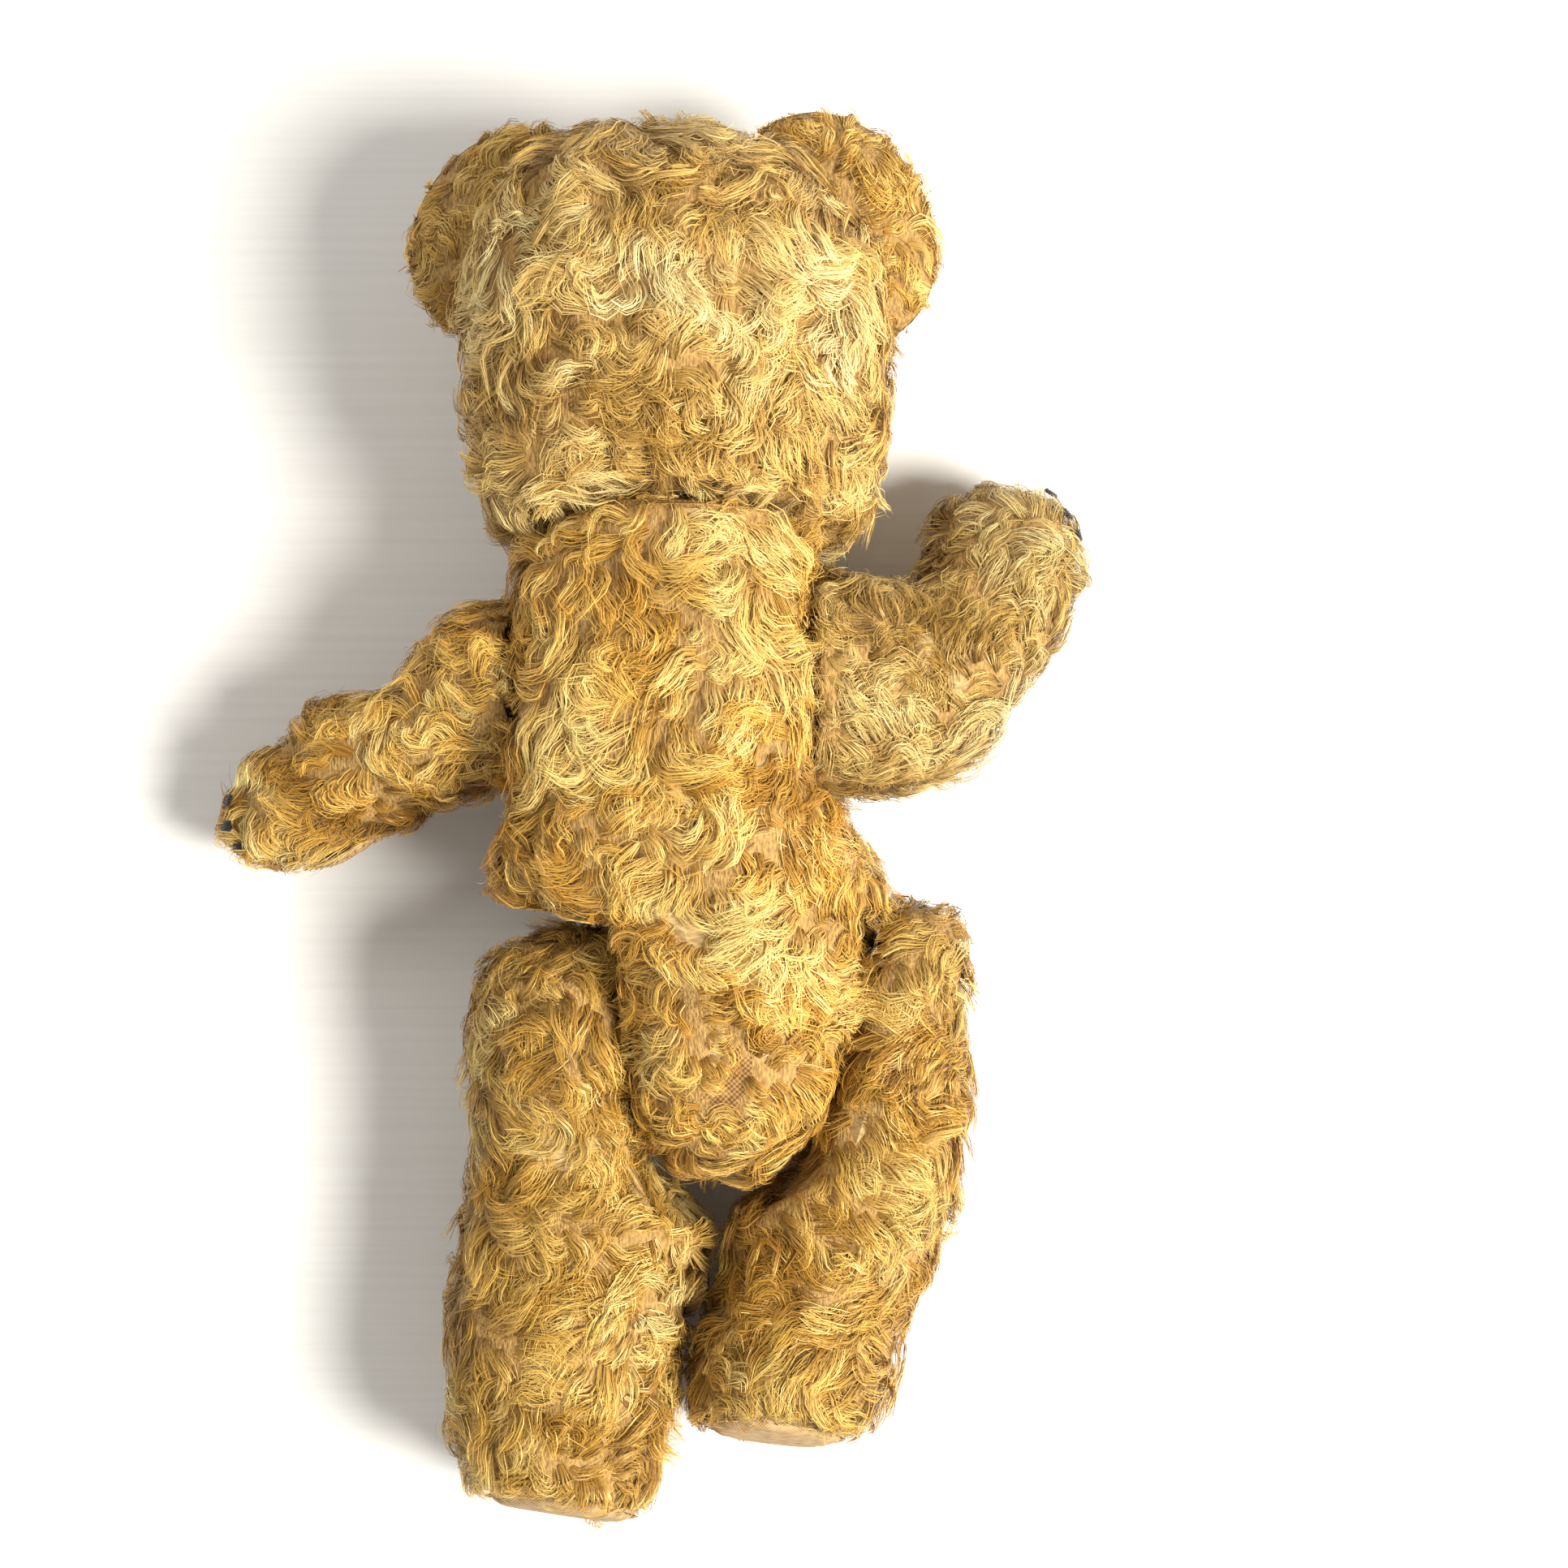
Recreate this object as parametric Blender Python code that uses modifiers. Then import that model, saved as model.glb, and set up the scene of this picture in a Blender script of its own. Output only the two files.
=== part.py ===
"""Jointed teddy bear, lying on its front.

Mohair skins over firm stuffing, in six parts: head, body, two arms and two
legs. Each limb turns on a disc joint: two card discs, two steel washers and a
split cotter pin. Metres, +Z up. The bear lies on Z = 0 with its head towards
+Y, so its back faces +Z. Stations below are written in millimetres.
"""
import math

import bmesh
import bpy
from mathutils import Matrix, Vector
from mathutils.bvhtree import BVHTree

MM = 0.001

# ---------------------------------------------------------------- dimensions
CENTRE = Vector((-2.795, -6.985, 0.0))   # middle of the bear's footprint
GAP = 0.3             # between pieces that touch
MATE = 0.25           # half of the gap between two skins that turn on each other
WALL = 3.0            # mohair cloth with the foot of its pile
FILL = WALL + 0.45    # depth at which the stuffing starts
DISC_T = 3.0          # card joint disc
NECK_DISC, ARM_DISC, LEG_DISC = 24.0, 17.0, 15.0   # their radii
WASHER_T = 1.0
WASHER_R = 8.0
HOLE_R = 2.5          # pin hole in discs, washers and skins
PIN_R = 0.8           # cotter pin wire
PIN_ROOM = 14.5       # stuffing stays this far from the mating plane
PAD_T = 2.2           # woven pad and its seam
CARD_T = 1.6          # card insole

# joint centres on the mating planes, and the axes out of the body
NECK = Vector((6.0, 69.5, 51.0))
NECK_AXIS = Vector((0.0, math.cos(math.radians(13.7)), -math.sin(math.radians(13.7))))
SHOULDER_L = Vector((-36.0, 34.0, 50.0))
SHOULDER_L_AXIS = Vector((-1.0, 0.0, 0.0))
SHOULDER_R = Vector((41.0, 33.0, 50.0))
SHOULDER_R_AXIS = Vector((1.0, 0.0, 0.0))
HIP_TILT_L = math.radians(6.0)
HIP_TILT_R = math.radians(18.0)
HIP_L = Vector((-6.0, -60.0, 48.0))
HIP_L_AXIS = Vector((-math.cos(HIP_TILT_L), -math.sin(HIP_TILT_L), 0.0))
HIP_R = Vector((52.0, -60.0, 48.0))
HIP_R_AXIS = Vector((math.cos(HIP_TILT_R), -math.sin(HIP_TILT_R), 0.0))
Z = Vector((0.0, 0.0, 1.0))

# ------------------------------------------------------------ scene, colours
for old in list(bpy.data.objects):
    bpy.data.objects.remove(old, do_unlink=True)

bear = bpy.data.collections.new("jointed_teddy_bear")
cutters = bpy.data.collections.new("cutters")
bpy.context.scene.collection.children.link(bear)
bpy.context.scene.collection.children.link(cutters)


def material(name, colour, rough, metal=0.0):
    mat = bpy.data.materials.new(name)
    mat.use_nodes = True
    bsdf = mat.node_tree.nodes["Principled BSDF"]
    bsdf.inputs["Base Color"].default_value = (*colour, 1.0)
    bsdf.inputs["Roughness"].default_value = rough
    bsdf.inputs["Metallic"].default_value = metal
    return mat


COLOURS = {
    "mohair": ((0.50, 0.30, 0.10), 0.75, 0.0),
    "stuffing": ((0.62, 0.50, 0.30), 0.95, 0.0),
    "pad": ((0.45, 0.30, 0.13), 0.85, 0.0),
    "thread": ((0.02, 0.015, 0.012), 0.6, 0.0),
    "seam": ((0.48, 0.33, 0.14), 0.8, 0.0),
    "glass": ((0.10, 0.04, 0.01), 0.08, 0.0),
    "card": ((0.32, 0.21, 0.12), 0.9, 0.0),
    "steel": ((0.55, 0.55, 0.56), 0.35, 1.0),
}


def finish(obj, kind, axis_empty=None):
    """Gives a finished piece its own material and hangs it on its joint."""
    colour, rough, metal = COLOURS[kind]
    obj.data.materials.clear()
    obj.data.materials.append(material(obj.name + "_" + kind, colour, rough, metal))
    if axis_empty is not None:
        obj.parent = axis_empty
        obj.matrix_parent_inverse = axis_empty.matrix_world.inverted()
    return obj


def hidden(obj):
    obj.hide_render = True
    obj.display_type = "WIRE"
    return obj


def axis_empty(name, centre):
    empty = bpy.data.objects.new(name, None)
    empty.location = (centre - CENTRE) * MM
    empty.empty_display_size = 0.02
    bear.objects.link(empty)
    bpy.context.view_layer.update()
    return empty


# ---------------------------------------------------------------- soft forms
def power(value, exponent):
    return math.copysign(abs(value) ** exponent, value)


def loft(rows, segments, square=2.0):
    """A closed skin through oval rings. A row is centre x, y, z, the heading
    of the ring's normal in the XY plane in degrees, half width and half depth.
    Each end closes on the centre of its last ring."""
    bm = bmesh.new()
    rings = []
    for x, y, z, heading, a, b in rows:
        angle = math.radians(heading)
        side = Vector((-math.sin(angle), math.cos(angle), 0.0))
        ring = []
        for k in range(segments):
            t = 2 * math.pi * (k + 0.5) / segments
            ring.append(bm.verts.new(
                Vector((x, y, z))
                + side * a * power(math.cos(t), 2 / square)
                + Z * b * power(math.sin(t), 2 / square)))
        rings.append(ring)
    for one, two in zip(rings, rings[1:]):
        for k in range(segments):
            n = (k + 1) % segments
            bm.faces.new((one[k], one[n], two[n], two[k]))
    for ring, row in ((rings[0], rows[0]), (rings[-1], rows[-1])):
        pole = bm.verts.new(Vector(row[:3]))
        for k in range(segments):
            n = (k + 1) % segments
            bm.faces.new((pole, ring[n], ring[k]) if ring is rings[0]
                         else (pole, ring[k], ring[n]))
    bmesh.ops.recalc_face_normals(bm, faces=bm.faces)
    return bm


def inset(bm, depth):
    """A copy of a closed skin, moved inwards along its normals."""
    new = bm.copy()
    new.normal_update()
    moved = [(v, v.co - v.normal * depth) for v in new.verts]
    for v, co in moved:
        v.co = co
    return new


def flatten(bm, point, normal, room=None):
    """Presses the skin flat against a plane: nothing stays more than room(v)
    beyond it."""
    for v in bm.verts:
        over = (v.co - point).dot(normal) - (room(v.co) if room else 0.0)
        if over > 0:
            v.co -= normal * over


def to_object(bm, name, collection, weld=0.0):
    if weld:
        bmesh.ops.remove_doubles(bm, verts=bm.verts, dist=weld)
    bmesh.ops.triangulate(bm, faces=bm.faces)
    for v in bm.verts:
        v.co = (v.co - CENTRE) * MM
    bmesh.ops.recalc_face_normals(bm, faces=bm.faces)
    mesh = bpy.data.meshes.new(name)
    bm.to_mesh(mesh)
    mesh.shade_smooth()
    obj = bpy.data.objects.new(name, mesh)
    collection.objects.link(obj)
    return obj


def boolean(obj, other, operation):
    mod = obj.modifiers.new(operation.lower(), "BOOLEAN")
    mod.operation = operation
    mod.solver = "EXACT"
    mod.object = other
    return mod


def frame(axis, hint=Z):
    """Rotation whose Z column is the axis."""
    z = axis.normalized()
    x = hint.cross(z)
    if x.length < 1e-4:
        x = Vector((1, 0, 0)).cross(z)
    x.normalize()
    y = z.cross(x)
    return Matrix((x, y, z)).transposed().to_4x4()


def prism(name, centre, axis, start, end, a, b, segments, collection, hint=Z):
    """An oval post along an axis, from start to end past its centre."""
    bm = bmesh.new()
    bmesh.ops.create_cone(bm, cap_ends=True, segments=segments, radius1=1.0,
                          radius2=1.0, depth=1.0)
    place = (Matrix.Translation(centre + axis.normalized() * (start + end) / 2)
             @ frame(axis, hint) @ Matrix.Diagonal((a, b, end - start, 1.0)))
    bmesh.ops.transform(bm, matrix=place, verts=bm.verts)
    return to_object(bm, name, collection)


def turned(name, centre, axis, profile, steps, kind, empty):
    """A ring turned about an axis. The profile is (radius, distance along the
    axis) in order round the section, down the outside first."""
    mesh = bpy.data.meshes.new(name)
    bm = bmesh.new()
    verts = [bm.verts.new(Vector((r, 0, h)) * MM) for r, h in profile]
    for i in range(len(verts)):
        bm.edges.new((verts[i], verts[(i + 1) % len(verts)]))
    bm.to_mesh(mesh)
    obj = bpy.data.objects.new(name, mesh)
    bear.objects.link(obj)
    mod = obj.modifiers.new("turn", "SCREW")
    mod.axis = "Z"
    mod.steps = mod.render_steps = steps
    mod.use_merge_vertices = True
    mod.merge_threshold = 0.00001
    obj.matrix_world = Matrix.Translation((centre - CENTRE) * MM) @ frame(axis)
    bpy.context.view_layer.update()
    finish(obj, kind)
    world = obj.matrix_world.copy()
    obj.parent = empty
    obj.matrix_parent_inverse = empty.matrix_world.inverted()
    obj.matrix_world = world
    return obj


def wire(name, points, radius, kind, empty=None, resolution=1):
    """A thread or wire: a bevelled curve made into a welded mesh."""
    curve = bpy.data.curves.new(name + "_line", "CURVE")
    curve.dimensions = "3D"
    curve.bevel_depth = radius * MM
    curve.bevel_resolution = resolution
    curve.use_fill_caps = True
    spline = curve.splines.new("POLY")
    spline.points.add(len(points) - 1)
    for p, co in zip(spline.points, points):
        p.co = (*((co - CENTRE) * MM), 1.0)
    line = bpy.data.objects.new(name + "_line", curve)
    bear.objects.link(line)
    bpy.context.view_layer.update()
    mesh = bpy.data.meshes.new_from_object(
        line.evaluated_get(bpy.context.evaluated_depsgraph_get()))
    bm = bmesh.new()
    bm.from_mesh(mesh)
    bmesh.ops.remove_doubles(bm, verts=bm.verts, dist=0.000002)
    bmesh.ops.recalc_face_normals(bm, faces=bm.faces)
    bm.to_mesh(mesh)
    bm.free()
    mesh.name = name
    obj = bpy.data.objects.new(name, mesh)
    obj.matrix_world = line.matrix_world.copy()
    bear.objects.link(obj)
    bpy.data.objects.remove(line, do_unlink=True)
    return finish(obj, kind, empty)


# -------------------------------------------------------------- station rows
def body_rows():
    # y, middle x, half width, middle z, half depth
    table = [
        (86.0, 6.0, 10.0, 70.0, 12.0),
        (84.0, 6.0, 24.0, 67.0, 26.0),
        (80.0, 6.0, 33.0, 62.0, 34.5),
        (73.0, 6.0, 40.5, 55.0, 42.0),
        (66.0, 6.2, 45.5, 52.5, 44.5),
        (60.0, 6.5, 49.0, 50.5, 46.5),
        (42.0, 7.0, 54.0, 49.5, 48.0),
        (15.0, 7.5, 55.0, 49.0, 49.5),
        (0.0, 7.8, 54.6, 48.8, 49.8),
        (-8.0, 8.0, 54.0, 48.5, 50.0),
        (-20.0, 9.5, 52.5, 48.0, 49.5),
        (-26.5, 12.0, 49.5, 48.0, 48.5),
        (-31.0, 18.0, 40.0, 48.0, 47.5),
        (-48.0, 22.5, 38.5, 48.0, 45.5),
        (-66.0, 23.0, 37.0, 48.0, 42.0),
        (-82.0, 21.0, 31.0, 48.0, 34.0),
        (-95.0, 18.0, 16.0, 48.0, 19.0),
        (-99.0, 18.0, 7.0, 48.0, 8.0),
    ]
    return [(x, y, z, -90.0, a, b) for y, x, a, z, b in table]


def head_rows():
    table = [
        (60.0, 5.5, 14.0, 34.0, 12.0),
        (63.0, 5.5, 28.0, 41.0, 24.0),
        (68.0, 5.5, 40.0, 47.0, 34.0),
        (75.5, 5.5, 49.0, 54.0, 42.5),
        (86.0, 6.0, 52.0, 58.0, 47.0),
        (102.0, 6.9, 55.0, 60.0, 49.5),
        (122.0, 6.5, 57.0, 60.5, 50.0),
        (140.0, 5.5, 56.0, 60.5, 48.5),
        (156.0, 5.0, 50.0, 61.0, 44.0),
        (168.0, 5.0, 40.5, 61.5, 36.0),
        (176.5, 5.0, 27.0, 62.0, 24.0),
        (180.5, 5.0, 13.0, 62.0, 12.0),
    ]
    return [(x, y, z, 90.0, a, b) for y, x, a, z, b in table]


SNOUT = Vector((5.0, 113.0, 0.0))


def add_snout(bm):
    """The muzzle pushes the front of the head, which faces the table, down."""
    for v in bm.verts:
        if v.co.z < 60:
            d = ((v.co.x - SNOUT.x) / 23.0) ** 2 + ((v.co.y - SNOUT.y) / 20.0) ** 2
            front = min(1.0, (60 - v.co.z) / 40)
            v.co.z -= 15.0 * math.exp(-d * d) * front


ARM_L = [  # x, y, z, heading, half width, half depth
    (-26.0, 39.0, 50.0, 205.0, 21.0, 21.0),
    (-38.0, 33.5, 50.0, 204.0, 25.0, 28.5),
    (-47.0, 29.5, 48.5, 206.0, 24.0, 26.0),
    (-56.0, 22.5, 45.5, 208.0, 20.5, 23.5),
    (-68.0, 16.0, 41.0, 208.0, 18.5, 21.5),
    (-79.0, 12.5, 37.0, 206.0, 19.5, 21.0),
    (-89.0, 9.5, 33.0, 205.0, 20.5, 21.0),
    (-100.0, 1.0, 28.5, 208.0, 18.5, 19.5),
    (-111.0, -3.5, 26.0, 206.0, 14.5, 15.5),
    (-119.0, -7.0, 24.5, 205.0, 8.5, 9.0),
    (-122.0, -8.5, 24.0, 205.0, 4.0, 4.5),
]
ARM_R = [
    (33.0, 34.0, 50.0, 0.0, 22.0, 23.0),
    (44.0, 34.0, 50.0, 0.0, 30.0, 33.0),
    (56.0, 33.5, 48.5, 2.0, 31.0, 30.5),
    (68.0, 33.5, 45.5, 8.0, 30.5, 26.5),
    (79.0, 37.8, 43.0, 17.0, 27.0, 25.0),
    (87.9, 49.9, 38.5, 46.0, 22.4, 23.0),
    (94.0, 60.0, 34.0, 68.0, 21.5, 21.5),
    (96.5, 72.0, 30.5, 80.0, 22.0, 21.0),
    (96.8, 81.5, 28.0, 84.0, 19.6, 18.5),
    (97.5, 88.0, 26.5, 84.0, 12.5, 13.0),
    (98.0, 91.0, 26.0, 84.0, 5.5, 6.0),
]


def leg_rows(hip, axis, table):
    """Rows from (distance down the leg, distance out from the mating plane,
    half width, middle z, half depth)."""
    down = Vector((-axis.y, axis.x, 0.0))
    if down.y > 0:
        down = -down
    heading = math.degrees(math.atan2(down.y, down.x))
    rows = []
    for s, q, a, z, b in table:
        c = hip + down * s + axis * q
        rows.append((c.x, c.y, z, heading, a, b))
    return rows


LEG_L = [
    (-30.0, 18.0, 9.0, 48.0, 8.0),
    (-26.0, 16.5, 18.5, 48.0, 17.5),
    (-15.0, 17.5, 25.5, 48.0, 27.5),
    (2.0, 18.5, 27.2, 48.0, 30.5),
    (18.0, 18.5, 27.8, 46.5, 29.0),
    (34.0, 20.0, 29.5, 44.5, 26.5),
    (48.0, 20.0, 34.0, 43.0, 27.0),
    (60.0, 21.5, 35.5, 41.5, 28.5),
    (76.0, 26.5, 34.0, 39.0, 31.5),
    (94.0, 30.0, 32.0, 36.0, 36.8),
    (110.0, 31.5, 29.5, 35.5, 36.5),
    (124.0, 31.5, 25.0, 35.5, 33.0),
    (138.0, 31.0, 18.0, 35.0, 27.0),
    (150.0, 31.0, 10.0, 35.0, 17.0),
]
LEG_R = [
    (-40.0, 12.0, 7.0, 48.0, 9.0),
    (-34.0, 10.0, 12.0, 48.0, 17.5),
    (-20.0, 10.0, 17.0, 48.0, 27.0),
    (2.0, 14.0, 22.5, 48.0, 30.5),
    (18.0, 15.5, 24.0, 46.5, 29.0),
    (34.0, 16.5, 25.5, 44.5, 26.5),
    (52.0, 14.5, 28.5, 42.5, 27.0),
    (70.0, 14.5, 27.5, 39.5, 30.5),
    (86.0, 14.5, 26.5, 36.0, 36.5),
    (100.0, 14.0, 26.0, 35.5, 36.3),
    (112.0, 14.5, 24.0, 35.5, 33.5),
    (124.0, 15.0, 19.0, 35.0, 28.0),
    (136.0, 15.0, 11.0, 35.0, 18.0),
]
SOLE_L = Vector((-25.0, -193.5, 36.0))
SOLE_R = Vector((25.0, -172.0, 36.0))
SOLE_AXIS_L = Vector((-0.13, -0.91, 0.36)).normalized()
SOLE_AXIS_R = Vector((-0.10, -0.91, 0.36)).normalized()


# --------------------------------------------------------- room round joints
def radial(co, centre, axis):
    d = co - centre
    return (d - axis * d.dot(axis)).length


def beyond(centre, axis, radius, slope):
    """How far a skin may pass a mating plane outside the joint's own circle."""
    return lambda co: max(0.0, (radial(co, centre, axis) - radius) * slope)


FLOOR = Vector((0.0, 0.0, 0.0))


def press(bm, planes, depth=0.0, filling=False):
    """planes: (point, direction the skin may not pass, room past it, depth at
    which the stuffing starts behind it, or None for the usual depth)."""
    for point, normal, room, fill in planes:
        d = fill if filling and fill is not None else depth
        flatten(bm, point - normal * d, normal, room)


# ------------------------------------------------------------- disc joints
def disc_joint(name, centre, axis, radius, empty_out, empty_in):
    """Two discs, two washers and a split pin. The pin's eye and the limb's
    disc belong to the limb, the body's disc and washer stay with the body."""
    first = MATE + WALL + GAP
    stack = (
        ("disc", first, DISC_T, None),
        ("washer", first + DISC_T + GAP, WASHER_T, WASHER_R),
    )
    for side, sign, empty in (("limb", 1.0, empty_out), ("body", -1.0, empty_in)):
        for kind, start, thick, r in stack:
            turned(
                f"{name}_{side}_{kind}", centre, axis * sign,
                [(r or radius, start + thick), (r or radius, start),
                 (HOLE_R, start), (HOLE_R, start + thick)],
                16 if kind == "disc" else 10,
                "card" if kind == "disc" else "steel", empty)
    # the split pin: an eye past the limb's washer, two legs through the
    # joint, each rolled over outwards against the body's washer
    rim = first + DISC_T + GAP + WASHER_T + GAP + PIN_R
    across = frame(axis).to_3x3() @ Vector((1, 0, 0))
    half = PIN_R + 0.12
    eye = 2.0
    curl = 2.1
    points = [(-half - 2 * curl, -rim - 0.2 + 0.0)] + [
        (-half - curl - curl * math.cos(math.radians(a)),
         -rim - 1.6 + 1.6 * math.sin(math.radians(a))) for a in (75, 130)]
    points += [(-half, -rim + 0.3), (-half, rim)]
    for k in range(6):
        t = math.radians(215 - 250 * k / 5)
        points.append((eye * math.cos(t), rim + eye + eye * math.sin(t) * 0.9))
    points += [(half, rim), (half, -rim + 0.3)]
    points += [(half + curl + curl * math.cos(math.radians(a)),
                -rim - 1.6 + 1.6 * math.sin(math.radians(a))) for a in (130, 75)]
    points.append((half + 2 * curl, -rim - 0.2))
    line = [centre + across * x + axis * h for x, h in points]
    wire(f"{name}_cotter_pin", line, PIN_R, "steel", empty_out)


def limb(name, rows, segments, planes, empty, joints, square=2.1, shape=None):
    """joints: (centre, axis towards this part, radius of its disc)."""
    # Returns the skin, its two walls and the outer surface for later use.
    outer_bm = loft(rows, segments, square)
    if shape:
        shape(outer_bm)
    press(outer_bm, planes)
    inner_bm = inset(outer_bm, WALL)
    press(inner_bm, planes, WALL)
    fill_bm = inset(outer_bm, FILL)
    press(fill_bm, planes, FILL, True)
    tree = BVHTree.FromBMesh(outer_bm)
    solid = outer_bm.copy()
    cover = to_object(outer_bm, name + "_cover", bear)
    whole = hidden(to_object(solid, name + "_outline_cut", cutters))
    cavity = hidden(to_object(inner_bm, name + "_cavity_cut", cutters))
    boolean(cover, cavity, "DIFFERENCE")
    stuffing = to_object(fill_bm, name + "_stuffing", bear)
    for i, (centre, axis, disc) in enumerate(joints):
        pocket = hidden(prism(f"{name}_disc_pocket_cut_{i}", centre, axis, -2.0,
                              PIN_ROOM, disc + 1.5, disc + 1.5, 12, cutters))
        boolean(stuffing, pocket, "DIFFERENCE")
        hole = hidden(prism(f"{name}_pin_hole_cut_{i}", centre, axis, -0.6,
                            WALL + 1.2, HOLE_R, HOLE_R, 8, cutters))
        boolean(cover, hole, "DIFFERENCE")
    finish(cover, "mohair", empty)
    finish(stuffing, "stuffing", empty)
    return cover, whole, cavity, tree


def on_skin(tree, point, direction, lift):
    """A point lifted off the skin, seen from outside along a direction."""
    d = direction.normalized()
    hit, normal, _, _ = tree.ray_cast(point - d * 200, d)
    if normal.dot(d) > 0:
        normal = -normal
    return hit + normal * lift, normal


# ------------------------------------------------------------------- bodies
neck_axis = axis_empty("neck_axis", NECK)
shoulder_l = axis_empty("shoulder_left_axis", SHOULDER_L)
shoulder_r = axis_empty("shoulder_right_axis", SHOULDER_R)
hip_l = axis_empty("hip_left_axis", HIP_L)
hip_r = axis_empty("hip_right_axis", HIP_R)
torso = axis_empty("torso_middle", Vector((8.0, 0.0, 49.0)))

body_planes = [
    (FLOOR, -Z, None, None),
    (NECK - NECK_AXIS * MATE, NECK_AXIS, None, None),
    (SHOULDER_L - SHOULDER_L_AXIS * MATE, SHOULDER_L_AXIS,
     beyond(SHOULDER_L, SHOULDER_L_AXIS, 44.0, 1.0), None),
    (SHOULDER_R - SHOULDER_R_AXIS * MATE, SHOULDER_R_AXIS,
     beyond(SHOULDER_R, SHOULDER_R_AXIS, 38.5, 2.4), None),
    (HIP_L - HIP_L_AXIS * MATE, HIP_L_AXIS,
     lambda co: max(0.0, (co.y + 28.5) * 12.0), None),
    (HIP_R - HIP_R_AXIS * MATE, HIP_R_AXIS,
     lambda co: max(0.0, (co.y + 28.5) * 12.0), None),
]
body_cover, body_whole, body_cavity, body_tree = limb(
    "body", body_rows(), 16, body_planes, torso,
    [(NECK, -NECK_AXIS, NECK_DISC), (SHOULDER_L, -SHOULDER_L_AXIS, ARM_DISC),
     (SHOULDER_R, -SHOULDER_R_AXIS, ARM_DISC), (HIP_L, -HIP_L_AXIS, LEG_DISC),
     (HIP_R, -HIP_R_AXIS, LEG_DISC)], 2.15)

head_planes = [
    (FLOOR + Z * 2.6, -Z, None, None),
    (NECK + NECK_AXIS * MATE, -NECK_AXIS, None, None),
]
head_cover, head_whole, head_cavity, head_tree = limb(
    "head", head_rows(), 18, head_planes, neck_axis,
    [(NECK, NECK_AXIS, NECK_DISC)], 2.15,
    add_snout)

arms = {}
for side, rows, centre, axis, empty in (
    ("left", ARM_L, SHOULDER_L, SHOULDER_L_AXIS, shoulder_l),
    ("right", ARM_R, SHOULDER_R, SHOULDER_R_AXIS, shoulder_r),
):
    planes = [
        (centre + axis * MATE, -axis, None, None),
        (FLOOR + Z * 0.5, -Z, None, None),
    ]
    arms[side] = limb(f"arm_{side}", rows, 12, planes, empty,
                      [(centre, axis, ARM_DISC)], 2.1)

legs = {}
for side, table, centre, axis, sole, sole_axis, empty in (
    ("left", LEG_L, HIP_L, HIP_L_AXIS, SOLE_L, SOLE_AXIS_L, hip_l),
    ("right", LEG_R, HIP_R, HIP_R_AXIS, SOLE_R, SOLE_AXIS_R, hip_r),
):
    planes = [
        (centre + axis * MATE, -axis, beyond(centre, axis, 45.0, 1.3), None),
        (FLOOR, -Z, None, None),
        (sole, sole_axis, None, WALL + GAP * 2 + CARD_T + 0.2),
    ]
    legs[side] = limb(f"leg_{side}", leg_rows(centre, axis, table), 12, planes,
                      empty, [(centre, axis, LEG_DISC)], 2.1)

disc_joint("neck", NECK, NECK_AXIS, NECK_DISC, neck_axis, torso)
disc_joint("shoulder_left", SHOULDER_L, SHOULDER_L_AXIS, ARM_DISC, shoulder_l, torso)
disc_joint("shoulder_right", SHOULDER_R, SHOULDER_R_AXIS, ARM_DISC, shoulder_r, torso)
disc_joint("hip_left", HIP_L, HIP_L_AXIS, LEG_DISC, hip_l, torso)
disc_joint("hip_right", HIP_R, HIP_R_AXIS, LEG_DISC, hip_r, torso)

# -------------------------------------------------------------------- ears
head_clear_bm = loft(head_rows(), 18, 2.15)
add_snout(head_clear_bm)
head_clear = hidden(to_object(inset(head_clear_bm, -0.6), "ear_base_cut", cutters))
EAR_OUT, EAR_THICK, EAR_CUP = 27.0, 7.5, 8.0
for name, middle, outward, half_long in (
    ("ear_left", Vector((-38.5, 154.5, 62.0)), Vector((-0.822, 0.570, 0.0)), 32.0),
    ("ear_right", Vector((49.0, 156.5, 62.0)), Vector((0.882, 0.472, 0.0)), 34.5),
):
    out = outward.normalized()
    along = Z.cross(out)
    bm = bmesh.new()
    bmesh.ops.create_uvsphere(bm, u_segments=14, v_segments=8, radius=1.0)
    for v in bm.verts:
        x, y, t = v.co.x, v.co.y, v.co.z
        cup = EAR_CUP * (x * x + y * y)
        v.co = (middle + along * x * half_long + out * y * EAR_OUT
                + Z * (t * EAR_THICK - cup))
    bmesh.ops.recalc_face_normals(bm, faces=bm.faces)
    ear = to_object(bm, name, bear)
    boolean(ear, head_clear, "DIFFERENCE")
    finish(ear, "mohair", neck_axis)

# -------------------------------------------------------------------- face
EYE_R, EYE_T = 6.0, 2.6
for name, dx in (("eye_left", -23.0), ("eye_right", 23.0)):
    seat, normal = on_skin(head_tree, Vector((SNOUT.x + dx, 139.0, 0.0)), Z, EYE_T + 0.7)
    bm = bmesh.new()
    bmesh.ops.create_uvsphere(bm, u_segments=10, v_segments=6, radius=1.0)
    bmesh.ops.transform(bm, verts=bm.verts, matrix=(
        Matrix.Translation(seat) @ frame(normal, Vector((0, 1, 0)))
        @ Matrix.Diagonal((EYE_R, EYE_R, EYE_T, 1.0))))
    finish(to_object(bm, name, bear), "glass", neck_axis)

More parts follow.
